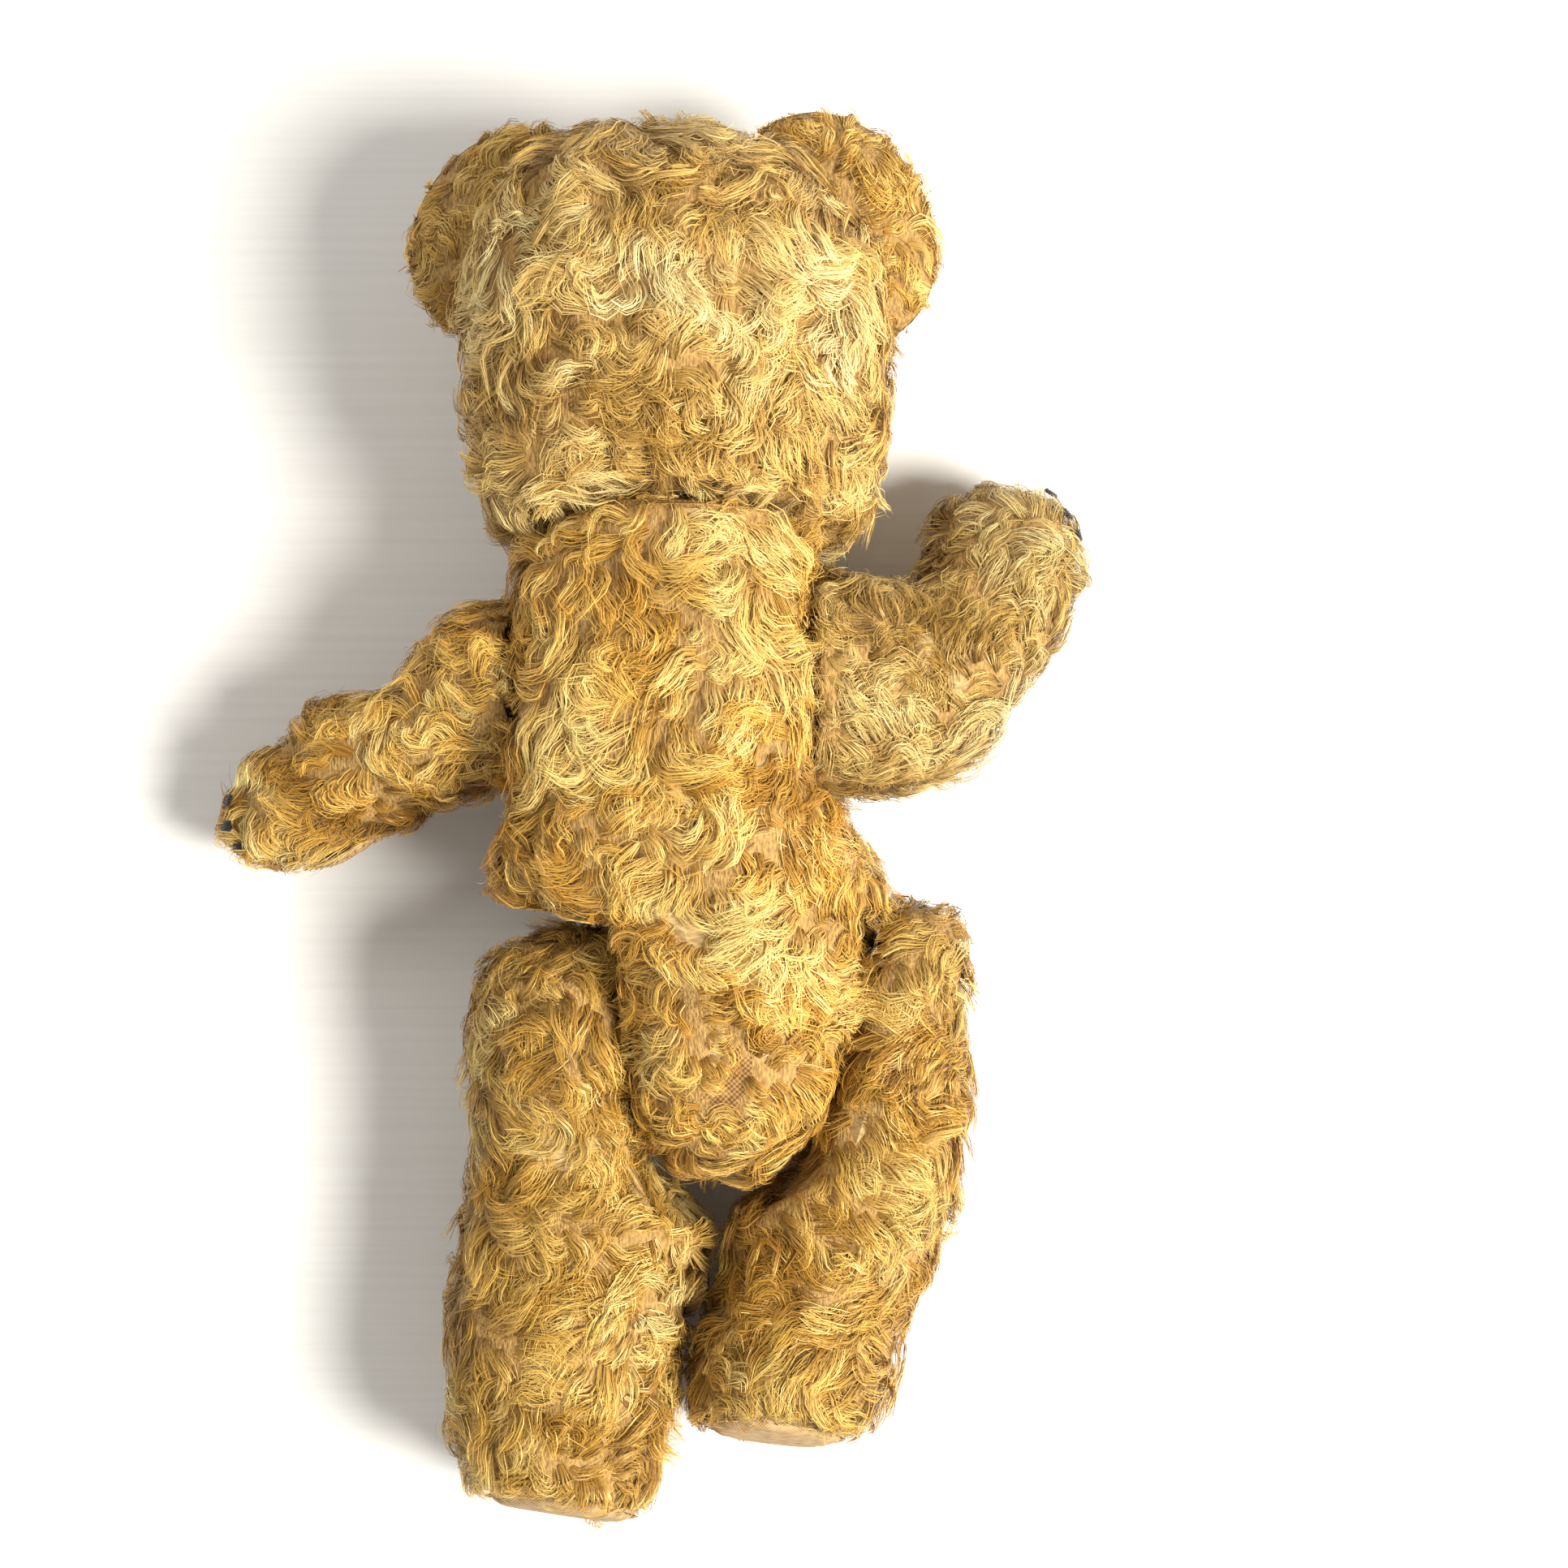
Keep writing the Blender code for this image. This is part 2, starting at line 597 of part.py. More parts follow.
# nose: a soft triangle of satin stitches with the start of the mouth line
nose = bpy.data.curves.new("nose_outline", "CURVE")
nose.dimensions = "2D"
nose.fill_mode = "BOTH"
nose.extrude = 0.9 * MM
outline = [(-1.0, -12.0), (1.0, -12.0), (1.1, -4.0), (4.5, -1.8), (7.6, 1.8),
           (8.6, 4.4), (7.6, 6.0), (-7.6, 6.0), (-8.6, 4.4), (-7.6, 1.8),
           (-4.5, -1.8), (-1.1, -4.0)]
spline = nose.splines.new("POLY")
spline.points.add(len(outline) - 1)
for p, (x, y) in zip(spline.points, outline):
    p.co = (x * MM, y * MM, 0.0, 1.0)
spline.use_cyclic_u = True
NOSE = Vector((SNOUT.x, 119.0, 1.3))
nose_line = bpy.data.objects.new("nose_outline", nose)
nose_line.location = (NOSE - CENTRE) * MM
bear.objects.link(nose_line)
bpy.context.view_layer.update()
nose_mesh = bpy.data.meshes.new_from_object(
    nose_line.evaluated_get(bpy.context.evaluated_depsgraph_get()))
bm = bmesh.new()
bm.from_mesh(nose_mesh)
bmesh.ops.remove_doubles(bm, verts=bm.verts, dist=0.000002)
bmesh.ops.recalc_face_normals(bm, faces=bm.faces)
bm.to_mesh(nose_mesh)
bm.free()
nose_obj = bpy.data.objects.new("nose_stitching", nose_mesh)
nose_obj.matrix_world = nose_line.matrix_world.copy()
bear.objects.link(nose_obj)
bpy.data.objects.remove(nose_line, do_unlink=True)
finish(nose_obj, "thread", neck_axis)

MOUTH_R = 0.7
mouth = [NOSE + Vector((9.5 * t, -13.2 - 4.2 * (1 - math.cos(math.pi * abs(t))) / 2 * 1.0, 0.1))
         for t in [k / 5 for k in range(-5, 6)]]
wire("mouth_stitching", mouth, MOUTH_R, "thread", neck_axis)

# -------------------------------------------------------------------- paws
def across_skin(tree, start, end, inward, lift, count):
    """Points on the skin between two places, lifted off it."""
    return [on_skin(tree, start.lerp(end, k / (count - 1)), inward, lift)[0]
            for k in range(count)]


CLAW_R = 0.85
for side, middle, along, normal, tip, claw_dir, claw_run in (
    ("left", Vector((-92.0, 5.0, 31.0)), Vector((-0.88, -0.47, -0.1)),
     Vector((0.40, -0.76, -0.52)), Vector((-114.0, -3.0, 27.0)),
     Vector((-0.85, -0.30, 0.35)), Vector((0.30, 0.10, 0.95))),
    ("right", Vector((95.0, 68.0, 29.0)), Vector((0.10, 0.99, -0.05)),
     Vector((-0.55, 0.10, -0.83)), Vector((108.0, 80.0, 28.0)),
     Vector((0.88, 0.36, 0.30)), Vector((-0.30, -0.10, 0.95))),
):
    cover, whole, cavity, tree = arms[side]
    empty = shoulder_l if side == "left" else shoulder_r
    n = normal.normalized()
    seat, _ = on_skin(tree, middle, -n, 0.0)
    hint = n.cross(along)
    opening = hidden(prism(f"paw_{side}_opening_cut", seat, n, -9.0, 4.0, 18.0,
                           11.5, 14, cutters, hint))
    boolean(cover, opening, "DIFFERENCE")
    pad = prism(f"arm_{side}_paw_pad", seat, n, -8.5, 3.5, 18.0 - GAP,
                11.5 - GAP, 14, bear, hint)
    boolean(pad, whole, "INTERSECT")
    boolean(pad, cavity, "DIFFERENCE")
    finish(pad, "pad", empty)
    # claws: one thread, three long stitches side by side over the paw's tip
    d = claw_dir.normalized()
    spread = d.cross(claw_run).normalized()
    reach = (claw_run - d * claw_run.dot(d)).normalized()
    line = []
    for k in (-1, 0, 1):
        a = tip + spread * (k * 6.5 - 0.9) - reach * 1.0
        b = tip + spread * (k * 6.5 - 0.9) + reach * 6.5
        c = tip + spread * (k * 6.5 + 1.6) + reach * 6.5
        e = tip + spread * (k * 6.5 + 1.6) - reach * 1.0
        line += across_skin(tree, a, b, -d, CLAW_R + 0.9, 4)
        line += across_skin(tree, c, e, -d, CLAW_R + 0.9, 4)
    wire(f"arm_{side}_claws", line, CLAW_R, "thread", empty)

# -------------------------------------------------------------------- feet
for side, a, b in (("left", 20.0, 24.5), ("right", 18.5, 24.0)):
    cover, whole, cavity, tree = legs[side]
    empty = hip_l if side == "left" else hip_r
    sole = SOLE_L if side == "left" else SOLE_R
    sole_axis = SOLE_AXIS_L if side == "left" else SOLE_AXIS_R
    flat = [v.co / MM + CENTRE for v in whole.data.vertices
            if abs((v.co / MM + CENTRE - sole).dot(sole_axis)) < 0.01]
    low = Vector([min(p[i] for p in flat) for i in range(3)])
    high = Vector([max(p[i] for p in flat) for i in range(3)])
    middle = (low + high) / 2
    middle -= sole_axis * (middle - sole).dot(sole_axis)
    print("sole", side, [round(c, 2) for c in middle - CENTRE], low, high)
    hint = sole_axis.cross(Vector((1, 0, 0)))
    opening = hidden(prism(f"foot_{side}_opening_cut", middle, sole_axis, -WALL - 2.5,
                           2.0, a + GAP, b + GAP, 18, cutters, hint))
    boolean(cover, opening, "DIFFERENCE")
    finish(prism(f"leg_{side}_foot_pad", middle, sole_axis, -PAD_T, 0.0, a, b,
                 18, bear, hint), "pad", empty)
    finish(prism(f"leg_{side}_insole_card", middle, sole_axis,
                 -WALL - GAP - CARD_T, -WALL - GAP, a - 0.5, b - 0.5, 18, bear,
                 hint), "card", empty)
    toe = middle - Z * 20.0
    line = []
    for k in (-1, 0, 1):
        for dx, ends in ((-0.9, (4.0, -2.0)), (1.6, (-2.0, 4.0))):
            for y in (ends[0], (ends[0] + ends[1]) / 2, ends[1]):
                start = toe + Vector((k * 7.5 + dx, y, 0.0))
                line.append(on_skin(tree, start, Vector((0.0, 0.25, 1.0)),
                                    CLAW_R + 0.9)[0])
    for p in line:
        p.z = max(p.z, CLAW_R + 0.05)
    wire(f"leg_{side}_claws", line, CLAW_R, "thread", empty)

# ------------------------------------------------------- back closing seam
line = []
for k in range(22):
    y = 50.0 - k * 3.6
    x = 15.5 + (1.1 if k % 2 else -1.1)
    line.append(on_skin(body_tree, Vector((x, y, 0.0)), -Z, 1.0)[0])
wire("back_closing_seam", line, 0.55, "seam", torso)
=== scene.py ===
"""The jointed teddy bear's looks: skins, mohair locks, pads, stitching, eyes."""
import math

import bmesh
import bpy
import numpy as np
from mathutils import Matrix, Vector
from mathutils.bvhtree import BVHTree


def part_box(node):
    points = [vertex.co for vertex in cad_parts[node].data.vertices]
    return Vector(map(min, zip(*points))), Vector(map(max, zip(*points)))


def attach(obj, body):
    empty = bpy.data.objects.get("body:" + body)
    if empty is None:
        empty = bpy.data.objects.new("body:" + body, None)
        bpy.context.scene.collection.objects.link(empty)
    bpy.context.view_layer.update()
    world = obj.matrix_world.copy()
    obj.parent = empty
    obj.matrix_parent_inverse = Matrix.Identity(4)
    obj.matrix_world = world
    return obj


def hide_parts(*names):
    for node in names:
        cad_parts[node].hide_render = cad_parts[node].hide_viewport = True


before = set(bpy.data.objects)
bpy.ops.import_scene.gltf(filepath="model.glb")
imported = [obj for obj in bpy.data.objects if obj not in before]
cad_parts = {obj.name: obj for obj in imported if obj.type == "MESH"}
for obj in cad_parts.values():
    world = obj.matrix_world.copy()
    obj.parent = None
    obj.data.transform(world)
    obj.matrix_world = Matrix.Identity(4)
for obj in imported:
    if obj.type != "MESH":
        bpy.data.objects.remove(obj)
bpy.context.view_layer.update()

MM = 0.001
rng = np.random.default_rng(20611)
CENTRE = np.array([-2.795, -6.985, 0.0])     # the same middle as the CAD's

# ------------------------------------------------------------------ the stage
# The camera looks straight down. f is its focal length in units of the frame.
EYE = (np.array([35.0, 7.0, 634.0]) - CENTRE) * MM
cam_data = bpy.data.cameras.new("camera")
cam_data.sensor_fit = "HORIZONTAL"
cam_data.angle = 2 * math.atan(966.0 / 2654.5)
cam_data.clip_start = 0.01
cam = bpy.data.objects.new("camera", cam_data)
cam.location = EYE
bpy.context.scene.collection.objects.link(cam)
bpy.context.scene.camera = cam


def nodes_of(mat):
    mat.use_nodes = True
    tree = mat.node_tree
    return tree, tree.nodes, tree.links, tree.nodes["Principled BSDF"]


floor_mesh = bpy.data.meshes.new("floor")
bm = bmesh.new()
bmesh.ops.create_grid(bm, x_segments=1, y_segments=1, size=2.5)
bm.to_mesh(floor_mesh)
bm.free()
floor = bpy.data.objects.new("floor", floor_mesh)
bpy.context.scene.collection.objects.link(floor)
floor_mat = bpy.data.materials.new("floor_pale")
tree, N, L, P = nodes_of(floor_mat)
tc = N.new("ShaderNodeTexCoord")
turn = N.new("ShaderNodeMapping")
turn.inputs["Scale"].default_value = (3.0, 150.0, 1.0)
turn.inputs["Rotation"].default_value = (0, 0, math.radians(3))
grain = N.new("ShaderNodeTexNoise")
grain.inputs["Scale"].default_value = 3.0
grain.inputs["Detail"].default_value = 5.0
L.new(tc.outputs["Object"], turn.inputs[0])
L.new(turn.outputs[0], grain.inputs["Vector"])
pale = N.new("ShaderNodeValToRGB")
pale.color_ramp.elements[0].position, pale.color_ramp.elements[0].color = 0.36, (0.785, 0.768, 0.73, 1)
pale.color_ramp.elements[1].position, pale.color_ramp.elements[1].color = 0.62, (0.815, 0.80, 0.765, 1)
L.new(grain.outputs[0], pale.inputs[0])
L.new(pale.outputs[0], P.inputs["Base Color"])
P.inputs["Roughness"].default_value = 0.55
floor_mesh.materials.append(floor_mat)


def area_light(name, place, target, size, power, colour):
    data = bpy.data.lights.new(name, "AREA")
    data.shape = "DISK"
    data.size = size
    data.energy = power
    data.color = colour
    obj = bpy.data.objects.new(name, data)
    obj.location = place
    obj.rotation_euler = (Vector(target) - Vector(place)).to_track_quat("-Z", "Y").to_euler()
    bpy.context.scene.collection.objects.link(obj)
    return obj


area_light("key", (0.76, -0.24, 0.96), (0.0, 0.0, 0.03), 0.46, 30.0, (1.0, 0.98, 0.94))
area_light("fill", (-0.7, 0.9, 1.2), (0.0, 0.0, 0.03), 0.9, 7.0, (1.0, 0.98, 0.95))
world = bpy.data.worlds.new("studio")
bpy.context.scene.world = world
world.use_nodes = True
world.node_tree.nodes["Background"].inputs[0].default_value = (1.0, 0.985, 0.955, 1)
world.node_tree.nodes["Background"].inputs[1].default_value = 0.44
bpy.context.scene.view_settings.view_transform = "Standard"

# --------------------------------------------------------- shapes, as in CAD
Z = np.array([0.0, 0.0, 1.0])
NECK = np.array([6.0, 69.5, 51.0])
NECK_AXIS = np.array([0.0, math.cos(math.radians(13.7)), -math.sin(math.radians(13.7))])
SH_L, SH_L_AXIS = np.array([-36.0, 34.0, 50.0]), np.array([-1.0, 0.0, 0.0])
SH_R, SH_R_AXIS = np.array([41.0, 33.0, 50.0]), np.array([1.0, 0.0, 0.0])
TL, TR = math.radians(6.0), math.radians(18.0)
HIP_L = np.array([-6.0, -60.0, 48.0])
HIP_L_AXIS = np.array([-math.cos(TL), -math.sin(TL), 0.0])
HIP_R = np.array([52.0, -60.0, 48.0])
HIP_R_AXIS = np.array([math.cos(TR), -math.sin(TR), 0.0])
SOLE_L, SOLE_R = np.array([-25.0, -193.5, 36.0]), np.array([25.0, -172.0, 36.0])


def unit(v):
    v = np.asarray(v, float)
    return v / np.maximum(np.linalg.norm(v, axis=-1, keepdims=True), 1e-12)


SOLE_L_AXIS, SOLE_R_AXIS = unit([-0.13, -0.91, 0.36]), unit([-0.10, -0.91, 0.36])
BODY = [(86.0, 6.0, 10.0, 70.0, 12.0), (84.0, 6.0, 24.0, 67.0, 26.0), (80.0, 6.0, 33.0, 62.0, 34.5),
        (73.0, 6.0, 40.5, 55.0, 42.0), (66.0, 6.2, 45.5, 52.5, 44.5),
        (60.0, 6.5, 49.0, 50.5, 46.5), (42.0, 7.0, 54.0, 49.5, 48.0),
        (15.0, 7.5, 55.0, 49.0, 49.5), (0.0, 7.8, 54.6, 48.8, 49.8), (-8.0, 8.0, 54.0, 48.5, 50.0),
        (-20.0, 9.5, 52.5, 48.0, 49.5), (-26.5, 12.0, 49.5, 48.0, 48.5),
        (-31.0, 18.0, 40.0, 48.0, 47.5), (-48.0, 22.5, 38.5, 48.0, 45.5),
        (-66.0, 23.0, 37.0, 48.0, 42.0), (-82.0, 21.0, 31.0, 48.0, 34.0),
        (-95.0, 18.0, 16.0, 48.0, 19.0), (-99.0, 18.0, 7.0, 48.0, 8.0)]
HEAD = [(60.0, 5.5, 14.0, 34.0, 12.0), (63.0, 5.5, 28.0, 41.0, 24.0), (68.0, 5.5, 40.0, 47.0, 34.0),
        (75.5, 5.5, 49.0, 54.0, 42.5), (86.0, 6.0, 52.0, 58.0, 47.0), (102.0, 6.9, 55.0, 60.0, 49.5),
        (122.0, 6.5, 57.0, 60.5, 50.0), (140.0, 5.5, 56.0, 60.5, 48.5),
        (156.0, 5.0, 50.0, 61.0, 44.0), (168.0, 5.0, 40.5, 61.5, 36.0),
        (176.5, 5.0, 27.0, 62.0, 24.0), (180.5, 5.0, 13.0, 62.0, 12.0)]
ARM_L = [(-26.0, 39.0, 50.0, 205.0, 21.0, 21.0), (-38.0, 33.5, 50.0, 204.0, 25.0, 28.5),
         (-47.0, 29.5, 48.5, 206.0, 24.0, 26.0), (-56.0, 22.5, 45.5, 208.0, 20.5, 23.5),
         (-68.0, 16.0, 41.0, 208.0, 18.5, 21.5), (-79.0, 12.5, 37.0, 206.0, 19.5, 21.0),
         (-89.0, 9.5, 33.0, 205.0, 20.5, 21.0), (-100.0, 1.0, 28.5, 208.0, 18.5, 19.5),
         (-111.0, -3.5, 26.0, 206.0, 14.5, 15.5), (-119.0, -7.0, 24.5, 205.0, 8.5, 9.0),
         (-122.0, -8.5, 24.0, 205.0, 4.0, 4.5)]
ARM_R = [(33.0, 34.0, 50.0, 0.0, 22.0, 23.0), (44.0, 34.0, 50.0, 0.0, 30.0, 33.0),
         (56.0, 33.5, 48.5, 2.0, 31.0, 30.5), (68.0, 33.5, 45.5, 8.0, 30.5, 26.5),
         (79.0, 37.8, 43.0, 17.0, 27.0, 25.0), (87.9, 49.9, 38.5, 46.0, 22.4, 23.0),
         (94.0, 60.0, 34.0, 68.0, 21.5, 21.5), (96.5, 72.0, 30.5, 80.0, 22.0, 21.0),
         (96.8, 81.5, 28.0, 84.0, 19.6, 18.5), (97.5, 88.0, 26.5, 84.0, 12.5, 13.0),
         (98.0, 91.0, 26.0, 84.0, 5.5, 6.0)]
LEG_L = [(-30.0, 18.0, 9.0, 48.0, 8.0), (-26.0, 16.5, 18.5, 48.0, 17.5),
         (-15.0, 17.5, 25.5, 48.0, 27.5), (2.0, 18.5, 27.2, 48.0, 30.5),
         (18.0, 18.5, 27.8, 46.5, 29.0), (34.0, 20.0, 29.5, 44.5, 26.5),
         (48.0, 20.0, 34.0, 43.0, 27.0), (60.0, 21.5, 35.5, 41.5, 28.5),
         (76.0, 26.5, 34.0, 39.0, 31.5), (94.0, 30.0, 32.0, 36.0, 36.8),
         (110.0, 31.5, 29.5, 35.5, 36.5), (124.0, 31.5, 25.0, 35.5, 33.0),
         (138.0, 31.0, 18.0, 35.0, 27.0), (150.0, 31.0, 10.0, 35.0, 17.0)]
LEG_R = [(-40.0, 12.0, 7.0, 48.0, 9.0), (-34.0, 10.0, 12.0, 48.0, 17.5), (-20.0, 10.0, 17.0, 48.0, 27.0),
         (2.0, 14.0, 22.5, 48.0, 30.5), (18.0, 15.5, 24.0, 46.5, 29.0), (34.0, 16.5, 25.5, 44.5, 26.5),
         (52.0, 14.5, 28.5, 42.5, 27.0), (70.0, 14.5, 27.5, 39.5, 30.5), (86.0, 14.5, 26.5, 36.0, 36.5),
         (100.0, 14.0, 26.0, 35.5, 36.3), (112.0, 14.5, 24.0, 35.5, 33.5),
         (124.0, 15.0, 19.0, 35.0, 28.0), (136.0, 15.0, 11.0, 35.0, 18.0)]


def axial(table, heading):
    return np.array([(x, y, z, heading, a, b) for y, x, a, z, b in table])


def leg_rows(hip, axis, table):
    down = np.array([-axis[1], axis[0], 0.0])
    if down[1] > 0:
        down = -down
    heading = math.degrees(math.atan2(down[1], down[0]))
    rows = []
    for s, q, a, z, b in table:
        c = hip + down * s + axis * q
        rows.append((c[0], c[1], z, heading, a, b))
    return np.array(rows)


def catmull(rows, steps):
    rows = np.asarray(rows, float)
    out = []
    last = len(rows) - 1
    for i in range(last):
        p0, p1, p2, p3 = rows[max(i - 1, 0)], rows[i], rows[i + 1], rows[min(i + 2, last)]
        for k in range(steps):
            t = k / steps
            out.append(0.5 * (2 * p1 + (p2 - p0) * t + (2 * p0 - 5 * p1 + 4 * p2 - p3) * t * t
                              + (3 * p1 - p0 - 3 * p2 + p3) * t ** 3))
    out.append(rows[-1])
    return np.array(out)


def grid_faces(rings, seg):
    i, k = np.meshgrid(np.arange(rings - 1), np.arange(seg), indexing="ij")
    n = (k + 1) % seg
    quads = np.stack([i * seg + k, i * seg + n, (i + 1) * seg + n, (i + 1) * seg + k], -1)
    tris = np.concatenate([quads[..., [0, 1, 2]].reshape(-1, 3), quads[..., [0, 2, 3]].reshape(-1, 3)])
    k = np.arange(seg)
    first, last = rings * seg, rings * seg + 1
    caps = np.concatenate([
        np.stack([np.full(seg, first), (k + 1) % seg, k], -1),
        np.stack([np.full(seg, last), (rings - 1) * seg + k, (rings - 1) * seg + (k + 1) % seg], -1)])
    return np.concatenate([tris, caps])


def normals(v, f):
    n = np.zeros_like(v)
    c = np.cross(v[f[:, 1]] - v[f[:, 0]], v[f[:, 2]] - v[f[:, 0]])
    for k in range(3):
        np.add.at(n, f[:, k], c)
    return unit(n)


def outward(v, f):
    c = np.cross(v[f[:, 1]], v[f[:, 2]])
    return f if (v[f[:, 0]] * c).sum() > 0 else f[:, [0, 2, 1]]


def relax(v, f, rounds, amount=0.5):
    e = np.unique(np.sort(np.concatenate([f[:, [0, 1]], f[:, [1, 2]], f[:, [2, 0]]]), 1), axis=0)
    deg = np.zeros(len(v))
    np.add.at(deg, e[:, 0], 1)
    np.add.at(deg, e[:, 1], 1)
    for _ in range(rounds):
        s = np.zeros_like(v)
        np.add.at(s, e[:, 0], v[e[:, 1]])
        np.add.at(s, e[:, 1], v[e[:, 0]])
        v = v + amount * (s / deg[:, None] - v)
    return v


def radial(p, c, a):
    d = p - c
    return np.linalg.norm(d - (d @ a)[..., None] * a, axis=-1)


def flatten(v, point, normal, room=None):
    over = (v - point) @ normal - (room(v) if room else 0.0)
    return v - np.maximum(over, 0)[:, None] * normal


def loft(rows, seg, square):
    t = 2 * np.pi * (np.arange(seg) + 0.5) / seg
    h = np.radians(rows[:, 3])
    side = np.stack([-np.sin(h), np.cos(h), 0 * h], -1)
    c = np.sign(np.cos(t)) * np.abs(np.cos(t)) ** (2 / square)
    s = np.sign(np.sin(t)) * np.abs(np.sin(t)) ** (2 / square)
    v = (rows[:, None, :3] + side[:, None] * (rows[:, 4, None] * c)[..., None]
         + Z * (rows[:, 5, None] * s)[..., None]).reshape(-1, 3)
    v = np.concatenate([v, rows[[0, -1], :3]])
    f = grid_faces(len(rows), seg)
    return v, outward(v - v.mean(0), f)


def waves(count, low, high, seed):
    """A smooth random field: waves of low to high millimetres."""
    r = np.random.default_rng(seed)
    k = unit(r.normal(size=(count, 3))) * (2 * np.pi / r.uniform(low, high, count))[:, None]
    ph = r.uniform(0, 2 * np.pi, count)
    return lambda p: np.sin(p @ k.T + ph).sum(-1) * math.sqrt(2.0 / count)


lumps = waves(14, 16, 42, 5)
swirl = waves(12, 22, 60, 7)
swirl2 = waves(12, 11, 24, 8)
curl_field = waves(12, 14, 34, 9)
tufts = waves(14, 9, 22, 15)
tone = waves(14, 18, 60, 10)
tone2 = waves(14, 6, 14, 11)

SKIN_DEPTH = 2.4


def back(px, py, z):
    """A place on the bear's back that the camera sees at this spot of its
    frame (1932 wide), at height z."""
    k = (634.0 - z) / 2654.5
    return np.array([35.0 + (px - 966.0) * k, 7.0 - (py - 966.0) * k, z])


def dist_line(p, points):
    best = np.full(len(p), 1e9)
    for a, b in zip(points, points[1:]):
        ab = b - a
        t = np.clip(((p - a) @ ab) / (ab @ ab), 0, 1)
        best = np.minimum(best, np.linalg.norm(p - a - t[:, None] * ab, axis=1))
    return best


WORN_SPOT = back(893, 1330, 92)
SPINE = [back(874, 560, 97), back(880, 740, 97), back(897, 930, 98), back(900, 1080, 97)]
CREASES = {   # (line, depth in mm, width in mm)
    "body": [
        ([back(690, 975, 96), back(790, 962, 97), back(880, 990, 97)], 2.4, 5.0),
        ([back(640, 1105, 80), back(760, 1120, 93), back(850, 1150, 95)], 2.3, 6.0),
        ([back(890, 1230, 93), back(888, 1440, 85)], 1.8, 4.0),
        ([back(1000, 1180, 90), back(960, 1300, 90)], 1.2, 6.0),
    ],
    "leg_left": [([back(560, 1435, 50), back(680, 1425, 70), back(840, 1450, 55)], 2.4, 7.0),
                 ([back(600, 1590, 60), back(760, 1560, 70)], 1.0, 8.0)],
    "leg_right": [([back(930, 1400, 60), back(1060, 1390, 72), back(1180, 1400, 55)], 2.4, 7.0)],
    "head": [], "arm_left": [], "arm_right": [([back(1120, 770, 60), back(1180, 850, 66)], 2.0, 7.0)],
}


def crease(name, v, n):
    if name == "body":
        d = dist_line(v, SPINE[1:])
        v = v + n * (1.9 * np.exp(-(d / 6.0) ** 2))[:, None]
    for line, depth, width in CREASES[name]:
        d = dist_line(v, line)
        v = v - n * (depth * np.exp(-(d / width) ** 2))[:, None]
    return v


def snout(v):
    d = ((v[:, 0] - 5.0) / 23.0) ** 2 + ((v[:, 1] - 113.0) / 20.0) ** 2
    front = np.clip((60 - v[:, 2]) / 40, 0, 1)
    v = v.copy()
    v[:, 2] -= np.where(v[:, 2] < 60, 15.0 * np.exp(-d * d) * front, 0)
    return v


def beyond(c, a, radius, slope):
    return lambda p: np.maximum(0, (radial(p, c, a) - radius) * slope)


MATE = 0.25
PARTS = {
    "body": dict(
        rows=axial(BODY, -90.0), square=2.15, steps=6, seg=96, rides="torso",
        planes=[(np.zeros(3), -Z, None), (NECK - NECK_AXIS * MATE, NECK_AXIS, None),
                (SH_L - SH_L_AXIS * MATE, SH_L_AXIS, beyond(SH_L, SH_L_AXIS, 44.0, 1.0)),
                (SH_R - SH_R_AXIS * MATE, SH_R_AXIS, beyond(SH_R, SH_R_AXIS, 38.5, 2.4)),
                (HIP_L - HIP_L_AXIS * MATE, HIP_L_AXIS, lambda p: np.maximum(0, (p[:, 1] + 28.5) * 12)),
                (HIP_R - HIP_R_AXIS * MATE, HIP_R_AXIS, lambda p: np.maximum(0, (p[:, 1] + 28.5) * 12))]),
    "head": dict(rows=axial(HEAD, 90.0), square=2.15, steps=7, seg=96, rides="head",
                 planes=[(Z * 2.6, -Z, None), (NECK + NECK_AXIS * MATE, -NECK_AXIS, None)]),
    "arm_left": dict(rows=np.array(ARM_L), square=2.1, steps=8, seg=56, rides="arm_left",
                     planes=[(SH_L + SH_L_AXIS * MATE, -SH_L_AXIS, None), (Z * 0.5, -Z, None)]),
    "arm_right": dict(rows=np.array(ARM_R), square=2.1, steps=8, seg=56, rides="arm_right",
                      planes=[(SH_R + SH_R_AXIS * MATE, -SH_R_AXIS, None), (Z * 0.5, -Z, None)]),
    "leg_left": dict(rows=leg_rows(HIP_L, HIP_L_AXIS, LEG_L), square=2.1, steps=6, seg=64, rides="leg_left",
                     planes=[(HIP_L + HIP_L_AXIS * MATE, -HIP_L_AXIS, beyond(HIP_L, HIP_L_AXIS, 45.0, 1.3)),
                             (np.zeros(3), -Z, None), (SOLE_L, SOLE_L_AXIS, None)]),
    "leg_right": dict(rows=leg_rows(HIP_R, HIP_R_AXIS, LEG_R), square=2.1, steps=6, seg=64, rides="leg_right",
                      planes=[(HIP_R + HIP_R_AXIS * MATE, -HIP_R_AXIS, beyond(HIP_R, HIP_R_AXIS, 45.0, 1.3)),
                              (np.zeros(3), -Z, None), (SOLE_R, SOLE_R_AXIS, None)]),
}


